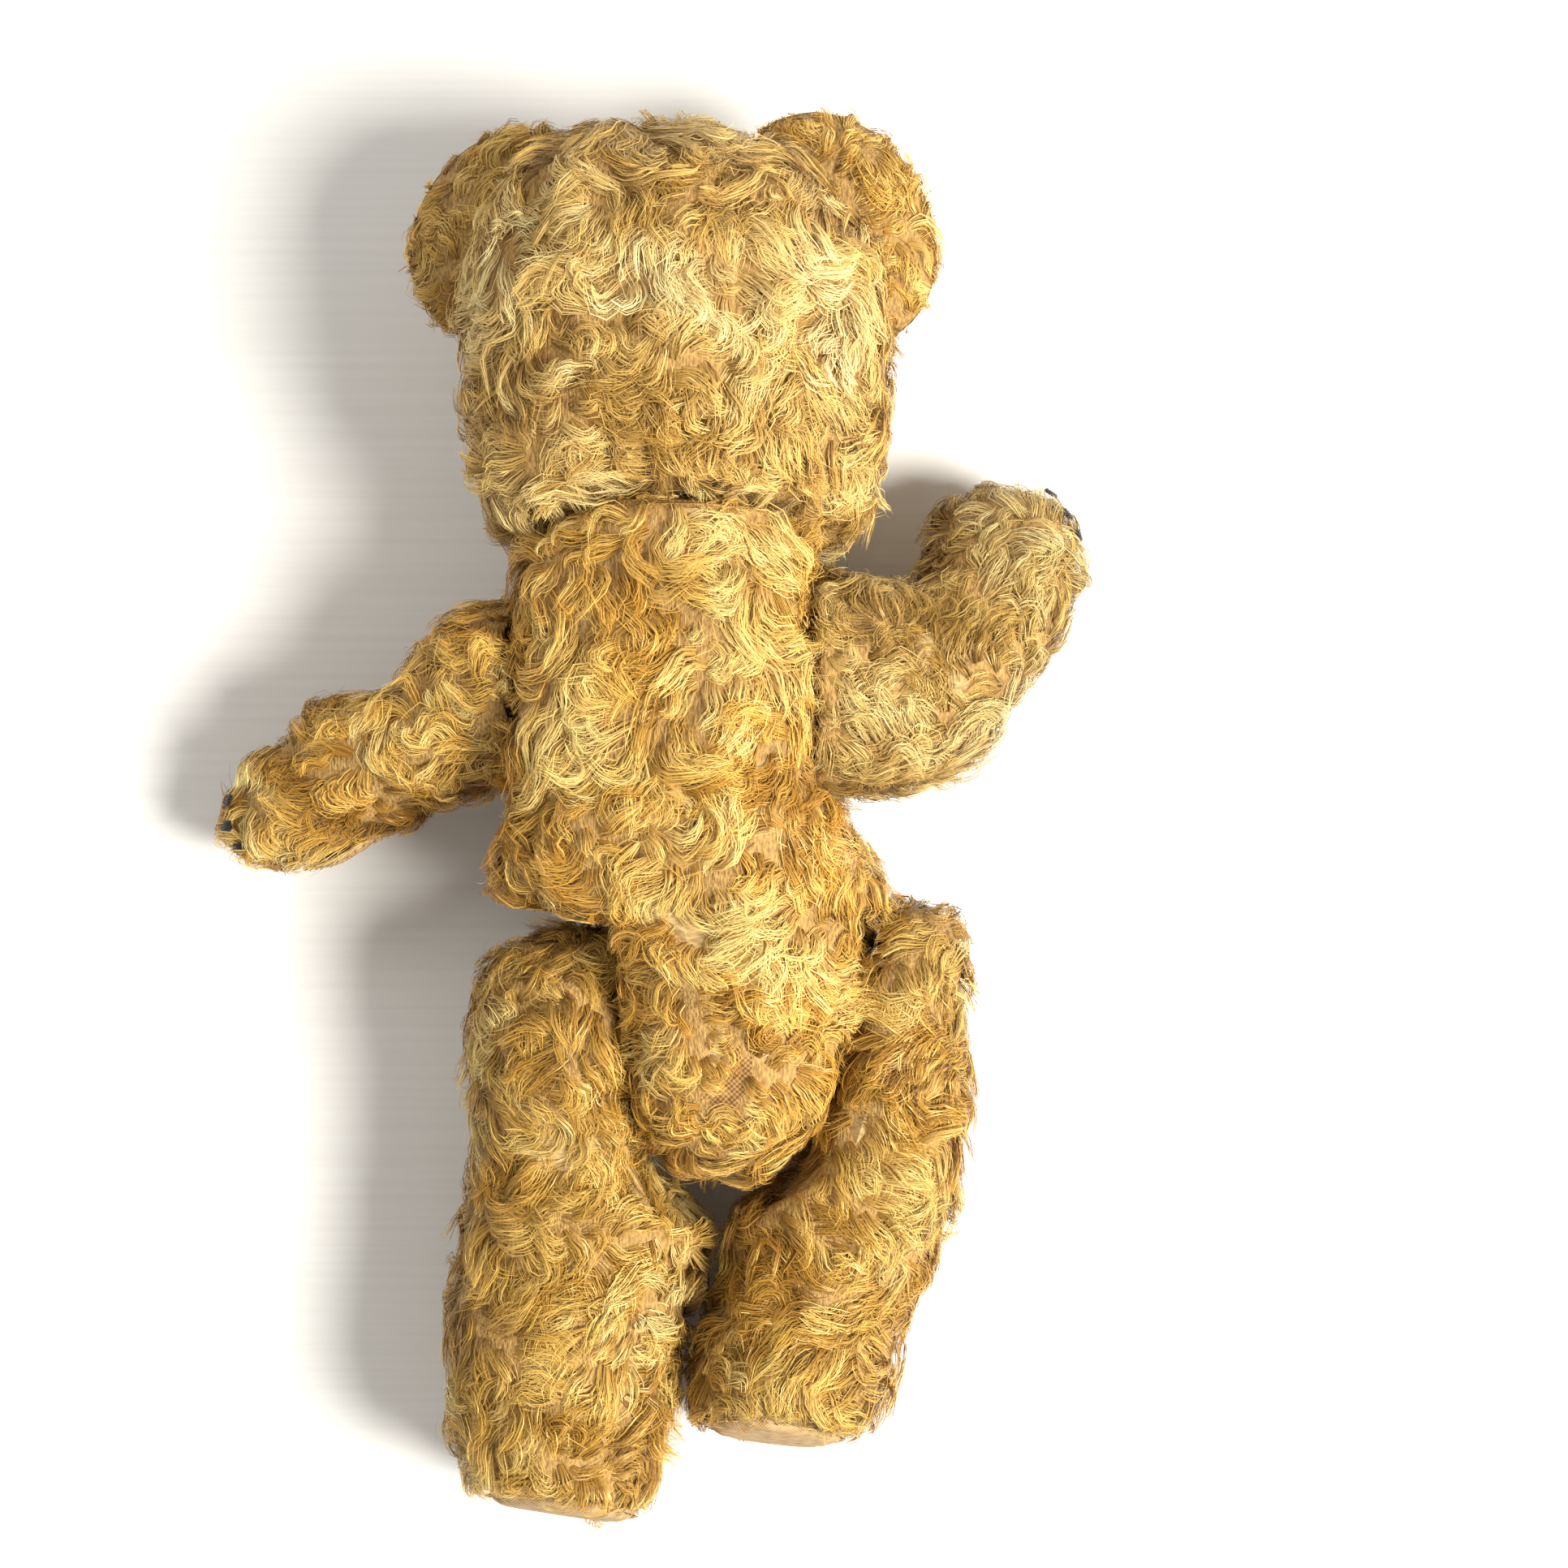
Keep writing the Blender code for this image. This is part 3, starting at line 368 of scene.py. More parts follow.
def build_skin(name):
    part = PARTS[name]
    rows = catmull(part["rows"], part["steps"])
    v, f = loft(rows, part["seg"], part["square"])
    if name == "head":
        v = snout(v)
    for plane in part["planes"]:
        v = flatten(v, *plane)
    v = relax(v, f, 3)
    n = normals(v, f)
    outer = v.copy()
    v = v - n * SKIN_DEPTH + n * np.clip(1.1 * lumps(v), -0.75, 1.8)[:, None]
    v = crease(name, v, n)
    for point, axis, room in part["planes"]:
        v = flatten(v, point - axis * 0.35, axis, room)
    part.update(v=v, f=f, n=normals(v, f), outer=outer, rings=len(rows))
    part["tree"] = BVHTree.FromPolygons([Vector(p) for p in v], f.tolist())
    return part


for name in PARTS:
    build_skin(name)


# -------------------------------------------------------------------- meshes
def to_mesh(name, v, faces, uv=None, smooth=True):
    """v in millimetres. faces is an array of triangles or quads. uv is one
    pair per vertex."""
    faces = np.asarray(faces, np.int32)
    mesh = bpy.data.meshes.new(name)
    mesh.vertices.add(len(v))
    mesh.vertices.foreach_set("co", ((v - CENTRE) * MM).astype(np.float32).ravel())
    m = faces.shape[1]
    mesh.loops.add(faces.size)
    mesh.loops.foreach_set("vertex_index", faces.ravel())
    mesh.polygons.add(len(faces))
    mesh.polygons.foreach_set("loop_start", np.arange(0, faces.size, m, dtype=np.int32))
    mesh.polygons.foreach_set("loop_total", np.full(len(faces), m, np.int32))
    mesh.polygons.foreach_set("use_smooth", np.full(len(faces), smooth))
    mesh.update()
    if uv is not None:
        layer = mesh.uv_layers.new(name="OFBake")
        layer.data.foreach_set("uv", uv[faces.ravel()].astype(np.float32).ravel())
    mesh.validate()
    obj = bpy.data.objects.new(name, mesh)
    bpy.context.scene.collection.objects.link(obj)
    return obj


# ------------------------------------------------------------------ materials
def srgb(r, g, b):
    def f(c):
        c /= 255.0
        return c / 12.92 if c <= 0.04045 else ((c + 0.055) / 1.055) ** 2.4
    return (f(r), f(g), f(b), 1.0)


def ramp(N, L, source, stops, how="LINEAR"):
    node = N.new("ShaderNodeValToRGB")
    node.color_ramp.interpolation = how
    els = node.color_ramp.elements
    els[0].position, els[0].color = stops[0]
    els[1].position, els[1].color = stops[-1]
    for pos, col in stops[1:-1]:
        e = els.new(pos)
        e.color = col
    L.new(source, node.inputs[0])
    return node.outputs[0]


def fur_material(name, roots, tips):
    """Along U each lock's tone, with the painted shade and painted light that grow() works into it; along V the way
    from the root to the tip.
    """
    mat = bpy.data.materials.new(name)
    tree, N, L, P = nodes_of(mat)
    uv = N.new("ShaderNodeUVMap")
    uv.uv_map = "OFBake"
    sep = N.new("ShaderNodeSeparateXYZ")
    L.new(uv.outputs[0], sep.inputs[0])
    marks = [0.02, 0.26, 0.5, 0.74, 0.98]
    low = ramp(N, L, sep.outputs[0], list(zip(marks, roots)))
    high = ramp(N, L, sep.outputs[0], list(zip(marks, tips)))
    along = ramp(N, L, sep.outputs[1], [(0.0, (0, 0, 0, 1)), (0.3, (0.38, 0.38, 0.38, 1)), (0.75, (1, 1, 1, 1))])
    mix = N.new("ShaderNodeMix")
    mix.data_type = "RGBA"
    L.new(along, mix.inputs[0])
    L.new(low, mix.inputs[6])
    L.new(high, mix.inputs[7])
    L.new(mix.outputs[2], P.inputs["Base Color"])
    P.inputs["Roughness"].default_value = 0.38
    P.inputs["Specular IOR Level"].default_value = 0.85
    P.inputs["Specular Tint"].default_value = srgb(255, 226, 160)
    P.inputs["Sheen Weight"].default_value = 0.25
    P.inputs["Sheen Roughness"].default_value = 0.4
    P.inputs["Sheen Tint"].default_value = srgb(255, 232, 180)
    return mat


def fur_set(name, gain=1.0, warm=0.0):
    """The palette for one part. warm above 0 is more orange, below it greyer."""
    base_roots = [(112, 72, 20), (146, 102, 36), (166, 122, 50), (182, 140, 66), (196, 158, 88)]
    base_tips = [(204, 150, 54), (236, 186, 84), (250, 208, 108), (255, 226, 138), (255, 240, 166)]

    def shift(c):
        r, g, b = c
        grey = (r + g + b) / 3
        if warm >= 0:
            return srgb(min(255, r * gain * (1 + 0.04 * warm)), g * gain * (1 - 0.04 * warm), b * gain * (1 - 0.22 * warm))
        k = -warm
        return srgb(*(min(255.0, (x + (grey - x) * 0.35 * k) * gain) for x in (r, g, b)))
    return fur_material(name, [shift(c) for c in base_roots], [shift(c) for c in base_tips])


def weave_material(name, light, dark, pitch, bump=0.25, rough=0.85, axes="XY"):
    """A plain weave: threads over and under along two axes, pitch in mm."""
    mat = bpy.data.materials.new(name)
    tree, N, L, P = nodes_of(mat)
    tc = N.new("ShaderNodeTexCoord")
    warp = N.new("ShaderNodeTexNoise")
    warp.inputs["Scale"].default_value = 160.0
    warp.inputs["Detail"].default_value = 2.0
    L.new(tc.outputs["Object"], warp.inputs["Vector"])
    bend = N.new("ShaderNodeVectorMath")
    bend.operation = "MULTIPLY_ADD"
    L.new(warp.outputs["Color"], bend.inputs[0])
    bend.inputs[1].default_value = (0.0009, 0.0009, 0.0009)
    L.new(tc.outputs["Object"], bend.inputs[2])
    sep = N.new("ShaderNodeSeparateXYZ")
    L.new(bend.outputs[0], sep.inputs[0])

    def wave(axis):
        m = N.new("ShaderNodeMath")
        m.operation = "MULTIPLY"
        m.inputs[1].default_value = 2 * math.pi / (pitch * MM)
        L.new(sep.outputs["XYZ".index(axis)], m.inputs[0])
        s = N.new("ShaderNodeMath")
        s.operation = "SINE"
        L.new(m.outputs[0], s.inputs[0])
        return s.outputs[0]
    prod = N.new("ShaderNodeMath")
    prod.operation = "MULTIPLY"
    L.new(wave(axes[0]), prod.inputs[0])
    L.new(wave(axes[1]), prod.inputs[1])
    mottle = N.new("ShaderNodeTexNoise")
    mottle.inputs["Scale"].default_value = 320.0
    mottle.inputs["Detail"].default_value = 4.0
    L.new(tc.outputs["Object"], mottle.inputs["Vector"])
    add = N.new("ShaderNodeMath")
    add.operation = "MULTIPLY_ADD"
    L.new(prod.outputs[0], add.inputs[0])
    add.inputs[1].default_value = 0.22
    L.new(mottle.outputs[0], add.inputs[2])
    colour = ramp(N, L, add.outputs[0], [(0.28, dark), (0.72, light)])
    L.new(colour, P.inputs["Base Color"])
    b = N.new("ShaderNodeBump")
    b.inputs["Strength"].default_value = bump
    b.inputs["Distance"].default_value = 0.0004
    L.new(add.outputs[0], b.inputs["Height"])
    L.new(b.outputs[0], P.inputs["Normal"])
    P.inputs["Roughness"].default_value = rough
    return mat


def noisy_material(name, a, b, scale, rough=0.6, bump=0.2, metal=0.0, stretch=(1, 1, 1), distance=0.0003):
    mat = bpy.data.materials.new(name)
    tree, N, L, P = nodes_of(mat)
    tc = N.new("ShaderNodeTexCoord")
    mp = N.new("ShaderNodeMapping")
    mp.inputs["Scale"].default_value = stretch
    L.new(tc.outputs["Object"], mp.inputs["Vector"])
    noise = N.new("ShaderNodeTexNoise")
    noise.inputs["Scale"].default_value = scale
    noise.inputs["Detail"].default_value = 6.0
    L.new(mp.outputs[0], noise.inputs["Vector"])
    L.new(ramp(N, L, noise.outputs[0], [(0.3, a), (0.7, b)]), P.inputs["Base Color"])
    bp = N.new("ShaderNodeBump")
    bp.inputs["Strength"].default_value = bump
    bp.inputs["Distance"].default_value = distance
    L.new(noise.outputs[0], bp.inputs["Height"])
    L.new(bp.outputs[0], P.inputs["Normal"])
    P.inputs["Roughness"].default_value = rough
    P.inputs["Metallic"].default_value = metal
    return mat


BACKING = noisy_material("deep_pile", srgb(124, 90, 40), srgb(196, 156, 88), 1700.0, 0.8, 0.9, stretch=(1, 0.3, 0.6), distance=0.0008)
WORN = weave_material("worn_backing", srgb(182, 140, 76), srgb(98, 64, 26), 1.4, 0.7)
PAD = weave_material("woven_pad", srgb(206, 174, 122), srgb(150, 116, 70), 0.95, 0.5)
STUFFING = noisy_material("wood_wool", srgb(196, 168, 110), srgb(142, 110, 62), 420.0, 0.8, 0.6, stretch=(1, 3, 1))
THREAD = noisy_material("black_thread", srgb(14, 12, 11), srgb(38, 33, 30), 1500.0, 0.45, 0.4)
SEAM = noisy_material("seam_thread", srgb(150, 112, 60), srgb(186, 148, 92), 1500.0, 0.6, 0.4)
CARD = noisy_material("pressed_card", srgb(142, 116, 82), srgb(104, 80, 52), 380.0, 0.8, 0.3)
STEEL = noisy_material("joint_steel", srgb(150, 148, 144), srgb(196, 194, 190), 900.0, 0.38, 0.1, metal=1.0)

# ----------------------------------------------------------------------- ears
EARS = {"ear_left": (np.array([-38.5, 154.5, 62.0]), unit([-0.822, 0.570, 0.0]), 32.0),
        "ear_right": (np.array([49.0, 156.5, 62.0]), unit([0.882, 0.472, 0.0]), 34.5)}


def build_ear(name):
    middle, out, half_long = EARS[name]
    along = np.cross(Z, out)
    rings, seg = 26, 56
    th = np.pi * (np.arange(rings) + 0.5) / rings
    ph = 2 * np.pi * np.arange(seg) / seg
    x = np.outer(np.cos(th), np.ones(seg)).ravel()
    y = np.outer(np.sin(th), np.cos(ph)).ravel()
    t = np.outer(np.sin(th), np.sin(ph)).ravel()
    x, y, t = np.append(x, [1, -1]), np.append(y, [0, 0]), np.append(t, [0, 0])
    v = (middle + along * (x * half_long)[:, None] + out * (y * 27.0)[:, None]
         + Z * (t * 7.5 - 8 * (x * x + y * y))[:, None])
    f = outward(v - v.mean(0), grid_faces(rings, seg))
    n = normals(v, f)
    outer = v
    v = v - n * 1.9
    PARTS[name] = dict(v=v, f=f, n=normals(v, f), outer=outer, rides="head", planes=[],
                       tree=BVHTree.FromPolygons([Vector(p) for p in v], f.tolist()))


for name in EARS:
    build_ear(name)

NODE = {"body": "body_cover", "head": "head_cover", "arm_left": "arm_left_cover",
        "arm_right": "arm_right_cover", "leg_left": "leg_left_cover", "leg_right": "leg_right_cover",
        "ear_left": "ear_left", "ear_right": "ear_right"}
SKINS = {}
for name, part in PARTS.items():
    obj = to_mesh(name + "_skin", part["v"], part["f"])
    obj.data.materials.append(BACKING)
    if name == "body":
        obj.data.materials.append(WORN)
        mid = part["v"][part["f"]].mean(1) - WORN_SPOT
        bare = ((mid[:, 0] / 6.5) ** 2 + (mid[:, 1] / 8.5) ** 2 < 1) & (mid[:, 2] > -25)
        obj.data.polygons.foreach_set("material_index", bare.astype(np.int32))
    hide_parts(NODE[name])
    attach(obj, part["rides"])
    SKINS[name] = obj

# ----------------------------------------------------------------------- pads
PADS = {
    "arm_left_paw_pad": ("arm_left", (-92, 5, 31), (-0.88, -0.47, -0.10), (0.40, -0.76, -0.52), 18.0, 11.5),
    "arm_right_paw_pad": ("arm_right", (95, 68, 29), (0.10, 0.99, -0.05), (-0.55, 0.10, -0.83), 18.0, 11.5),
    "leg_left_foot_pad": ("leg_left", None, None, SOLE_L_AXIS, 20.0, 24.5),
    "leg_right_foot_pad": ("leg_right", None, None, SOLE_R_AXIS, 18.5, 24.0),
}


def inside_box(node):
    lo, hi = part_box(node)
    return (np.array(lo) / MM + CENTRE, np.array(hi) / MM + CENTRE)


PAD_FRAMES = {}
for node, (host, mid, along, normal, ra, rb) in PADS.items():
    n = unit(normal)
    lo, hi = inside_box(node)
    if mid is None:
        mid = (lo + hi) / 2
        a = unit(np.cross(n, Z))
    else:
        mid = np.array(mid, float)
        a = unit(np.array(along, float) - n * np.dot(along, n))
    b = np.cross(n, a)
    PAD_FRAMES[node] = (host, mid, a, b, n, ra, rb)


def in_pad(host, p, grow=0.0):
    hit = np.zeros(len(p), bool)
    for node, (h, mid, a, b, n, ra, rb) in PAD_FRAMES.items():
        if h == host:
            d = p - mid
            u, w, q = (d @ a) / (ra + grow), (d @ b) / (rb + grow), d @ n
            hit |= (u * u + w * w < 1) & (np.abs(q) < 12)
    return hit


def cast(tree, point, direction, reach=30.0):
    """Where a ray against the direction first meets the surface."""
    start = Vector(point + direction * reach)
    hit, normal, _, _ = tree.ray_cast(start, Vector(-direction))
    return None if hit is None else (np.array(hit), np.array(normal))


def thread(name, lines, radius, mat, rides, sides=6, replaces=()):
    """Round threads through each line of points."""
    vs, fs, base = [], [], 0
    for pts in lines:
        pts = np.asarray(pts, float)
        tan = unit(np.gradient(pts, axis=0))
        up = np.where(np.abs(tan[:, 2:3]) > 0.9, np.array([1.0, 0, 0]), Z)
        s = unit(np.cross(tan, up))
        w = np.cross(tan, s)
        m = len(pts)
        r = radius * np.sqrt(np.clip(np.minimum(np.arange(m), np.arange(m)[::-1]) / 1.0 + 0.35, 0.3, 1))
        ang = 2 * np.pi * np.arange(sides) / sides
        ring = (pts[:, None] + r[:, None, None] * (s[:, None] * np.cos(ang)[None, :, None]
                                                   + w[:, None] * np.sin(ang)[None, :, None]))
        v = np.concatenate([ring.reshape(-1, 3), pts[:1] - tan[:1] * radius * 0.4, pts[-1:] + tan[-1:] * radius * 0.4])
        f = outward(v - v.mean(0), grid_faces(m, sides))
        vs.append(v)
        fs.append(f + base)
        base += len(v)
    obj = to_mesh(name, np.concatenate(vs), np.concatenate(fs))
    obj.data.materials.append(mat)
    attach(obj, rides)
    if replaces:
        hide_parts(*replaces)
    return obj


SMOOTH = {name: BVHTree.FromPolygons([Vector(p) for p in part["outer"]], part["f"].tolist())
          for name, part in PARTS.items()}



def puff(v, faces, sewn, n, cap):
    """Cloth under a little pressure, sewn down at the given points. It is
    worked at twenty times its size, since the solver is made for large cloth."""
    grow_by, mid = 20.0, v.mean(0)
    mesh = bpy.data.meshes.new("pad_work")
    mesh.from_pydata(((v - mid) * MM * grow_by).tolist(), [], faces.tolist())
    obj = bpy.data.objects.new("pad_work", mesh)
    bpy.context.scene.collection.objects.link(obj)
    group = obj.vertex_groups.new(name="sewn")
    group.add([int(i) for i in sewn], 1.0, "REPLACE")
    mod = obj.modifiers.new("cloth", "CLOTH")
    st = mod.settings
    st.quality = 6
    st.mass = 0.2
    st.tension_stiffness = st.compression_stiffness = 12.0
    st.shear_stiffness = 4.0
    st.bending_stiffness = 0.2
    st.shrink_min = -0.05
    st.use_pressure = True
    st.uniform_pressure_force = 3.0
    st.vertex_group_mass = "sewn"
    st.effector_weights.gravity = 0.0
    mod.collision_settings.use_collision = False
    mod.collision_settings.use_self_collision = False
    mod.point_cache.frame_start, mod.point_cache.frame_end = 1, 20
    scene = bpy.context.scene
    for frame_no in range(1, 21):
        scene.frame_set(frame_no)
    work = obj.evaluated_get(bpy.context.evaluated_depsgraph_get())
    shape = work.to_mesh()
    got = np.empty(len(v) * 3)
    shape.vertices.foreach_get("co", got)
    work.to_mesh_clear()
    bpy.data.objects.remove(obj)
    bpy.data.meshes.remove(mesh)
    scene.frame_set(1)
    move = got.reshape(-1, 3) / (MM * grow_by) + mid - v
    up = move @ n
    flat = move - up[:, None] * n
    size = np.linalg.norm(flat, axis=1, keepdims=True) + 1e-9
    print("pad moved up to", round(float(up.max()), 2), "mm, sideways", round(float(size.max()), 2))
    return v + np.clip(up, -0.3, cap)[:, None] * n + flat * np.minimum(1, 0.4 / size)


for node, (host, mid, a, b, n, ra, rb) in PAD_FRAMES.items():
    rings, seg = 16, 64
    tree = SMOOTH[host]
    sole = "foot" in node
    top, under = [], []
    for i in range(rings + 1):
        r = i / rings
        for k in range(seg if i else 1):
            ang = 2 * np.pi * k / seg
            q = mid + a * (ra * r * math.cos(ang)) + b * (rb * r * math.sin(ang))
            hit = cast(tree, q, n)
            s = hit[0] if hit is not None else q
            if hit is None:
                s = q - n * 1.0
            edge = (1 - r ** 6)
            swell = (0.7 if sole else 0.5) * edge + 0.10 * math.sin(3 * ang + 1.0) * r
            top.append(s + n * (swell - (0.0 if sole else 0.2)))
            under.append(s - n * 1.2)
    f = [(0, 1 + k, 1 + (k + 1) % seg) for k in range(seg)]
    for i in range(1, rings):
        o, p = 1 + (i - 1) * seg, 1 + i * seg
        for k in range(seg):
            m = (k + 1) % seg
            f += [(o + k, p + k, p + m), (o + k, p + m, o + m)]
    f = np.array(f)
    top, under = np.array(top), np.array(under)
    count = len(top)
    last = count - seg
    rim = []
    for k in range(seg):
        m = (k + 1) % seg
        rim += [(last + k, count + last + k, count + last + m), (last + k, count + last + m, last + m)]
    faces = np.concatenate([f, f[:, [0, 2, 1]] + count, np.array(rim)])
    vv = np.concatenate([top, under])
    cc = np.cross(vv[f[:, 1]] - vv[f[:, 0]], vv[f[:, 2]] - vv[f[:, 0]]).sum(0)
    if cc @ n < 0:
        faces = faces[:, [0, 2, 1]]
    sewn = list(range(count, 2 * count)) + [last + k for k in range(seg) if k % 4 != 2]
    vv = puff(vv, faces, sewn, n, 1.6 if sole else 1.0)
    obj = to_mesh(node + "_cloth", vv, faces)
    obj.data.materials.append(PAD)
    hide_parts(node)
    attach(obj, host)
    edge = top[last:]
    if True:
        lines = []
        m = 40
        for k in range(m):
            j0 = k * seg / m
            i0, i1 = int(j0) % seg, int(j0 + seg / m * 0.6) % seg
            p0 = edge[i0] + n * 0.15
            p1 = edge[i1] + n * 0.15 + unit(edge[i1] - mid) * 1.3
            lines.append([p0 - unit(p0 - mid) * 1.0, (p0 + p1) / 2 + n * 0.3, p1])
        thread(node + "_stitches", lines, 0.22, SEAM, host, sides=5)
    PARTS.setdefault("pads", {})[node] = None
PARTS.pop("pads")


# ------------------------------------------------------------------------ fur
def scatter(v, f, spacing, seed):
    """Points on the surface no nearer to each other than the spacing."""
    r = np.random.default_rng(seed)
    a, b, c = v[f[:, 0]], v[f[:, 1]], v[f[:, 2]]
    area = np.linalg.norm(np.cross(b - a, c - a), axis=1) / 2
    count = int(area.sum() / spacing ** 2 * 4.5)
    tri = r.choice(len(f), count, p=area / area.sum())
    s, t = r.random(count), r.random(count)
    flip = s + t > 1
    s[flip], t[flip] = 1 - s[flip], 1 - t[flip]
    p = a[tri] + (b - a)[tri] * s[:, None] + (c - a)[tri] * t[:, None]
    return p[thin(p, spacing)]


def thin(p, spacing):
    """Which points to keep so that no two are closer than the spacing."""
    cells = {}
    keep = []
    key = np.floor(p / spacing).astype(int)
    steps = [(i, j, k) for i in (-1, 0, 1) for j in (-1, 0, 1) for k in (-1, 0, 1)]
    limit = spacing * spacing
    pts = p.tolist()
    for i, (kx, ky, kz) in enumerate(key.tolist()):
        x, y, z = pts[i]
        free = True
        for dx, dy, dz in steps:
            for j in cells.get((kx + dx, ky + dy, kz + dz), ()):
                q = pts[j]
                if (q[0] - x) ** 2 + (q[1] - y) ** 2 + (q[2] - z) ** 2 < limit:
                    free = False
                    break
            if not free:
                break
        if free:
            cells.setdefault((kx, ky, kz), []).append(i)
            keep.append(i)
    return np.array(keep)


def nearest(tree, pts):
    """The nearest place on the surface and its outward normal, for each."""
    flat = pts.reshape(-1, 3)
    place = np.empty_like(flat)
    norm = np.empty_like(flat)
    find = tree.find_nearest
    for i, q in enumerate(flat.tolist()):
        hit, n, _, _ = find(q)
        place[i] = hit
        norm[i] = n
    return place.reshape(pts.shape), norm.reshape(pts.shape)


def whole_skin():
    """Every skin in one surface, without the faces that mate at a joint, so
    that the pile runs over the creases between the parts."""
    vs, fs, base = [], [], 0
    for part in PARTS.values():
        v, f = part["v"], part["f"]
        mid = v[f].mean(1)
        fn = unit(np.cross(v[f[:, 1]] - v[f[:, 0]], v[f[:, 2]] - v[f[:, 0]]))
        keep = np.ones(len(f), bool)
        for point, axis, room in part["planes"]:
            if abs(axis[2]) > 0.99 or (point is SOLE_L) or (point is SOLE_R):
                continue
            off = (mid - point) @ axis - (room(mid) if room else 0.0)
            keep &= ~((off > -2.2) & ((fn @ axis) > 0.6))
        vs.append(v)
        fs.append(f[keep] + base)
        base += len(v)
    v, f = np.concatenate(vs), np.concatenate(fs)
    return BVHTree.FromPolygons([Vector(p) for p in v], f.tolist())


WHOLE = whole_skin()


def flow(name, p):
    """The way the pile lies before it curls."""
    if name == "head":
        d = np.stack([(p[:, 0] - 5) * 0.6, (p[:, 1] - 165) * 0.8 - 22, p[:, 2] * 0 - 5], -1)
    elif name == "body":
        d = np.stack([(p[:, 0] - 8) * 0.25, p[:, 1] * 0 - 22, (p[:, 2] - 60) * -0.12], -1)
    elif name == "arm_left":
        d = np.tile([-0.9, -0.42, -0.25], (len(p), 1))
    elif name == "arm_right":
        d = np.where(p[:, 1:2] > 42, np.array([[0.12, 1.0, -0.1]]), np.array([[0.9, 0.25, -0.2]]))
    elif name == "leg_left":
        d = np.tile([0.15, -1.0, -0.2], (len(p), 1))
    elif name == "leg_right":
        d = np.tile([-0.2, -1.0, -0.2], (len(p), 1))
    else:
        middle, out, _ = EARS[name]
        d = np.tile(out, (len(p), 1)) + unit(p - middle) * 0.8
    return unit(d)


GUIDE, POINTS = 10, 6


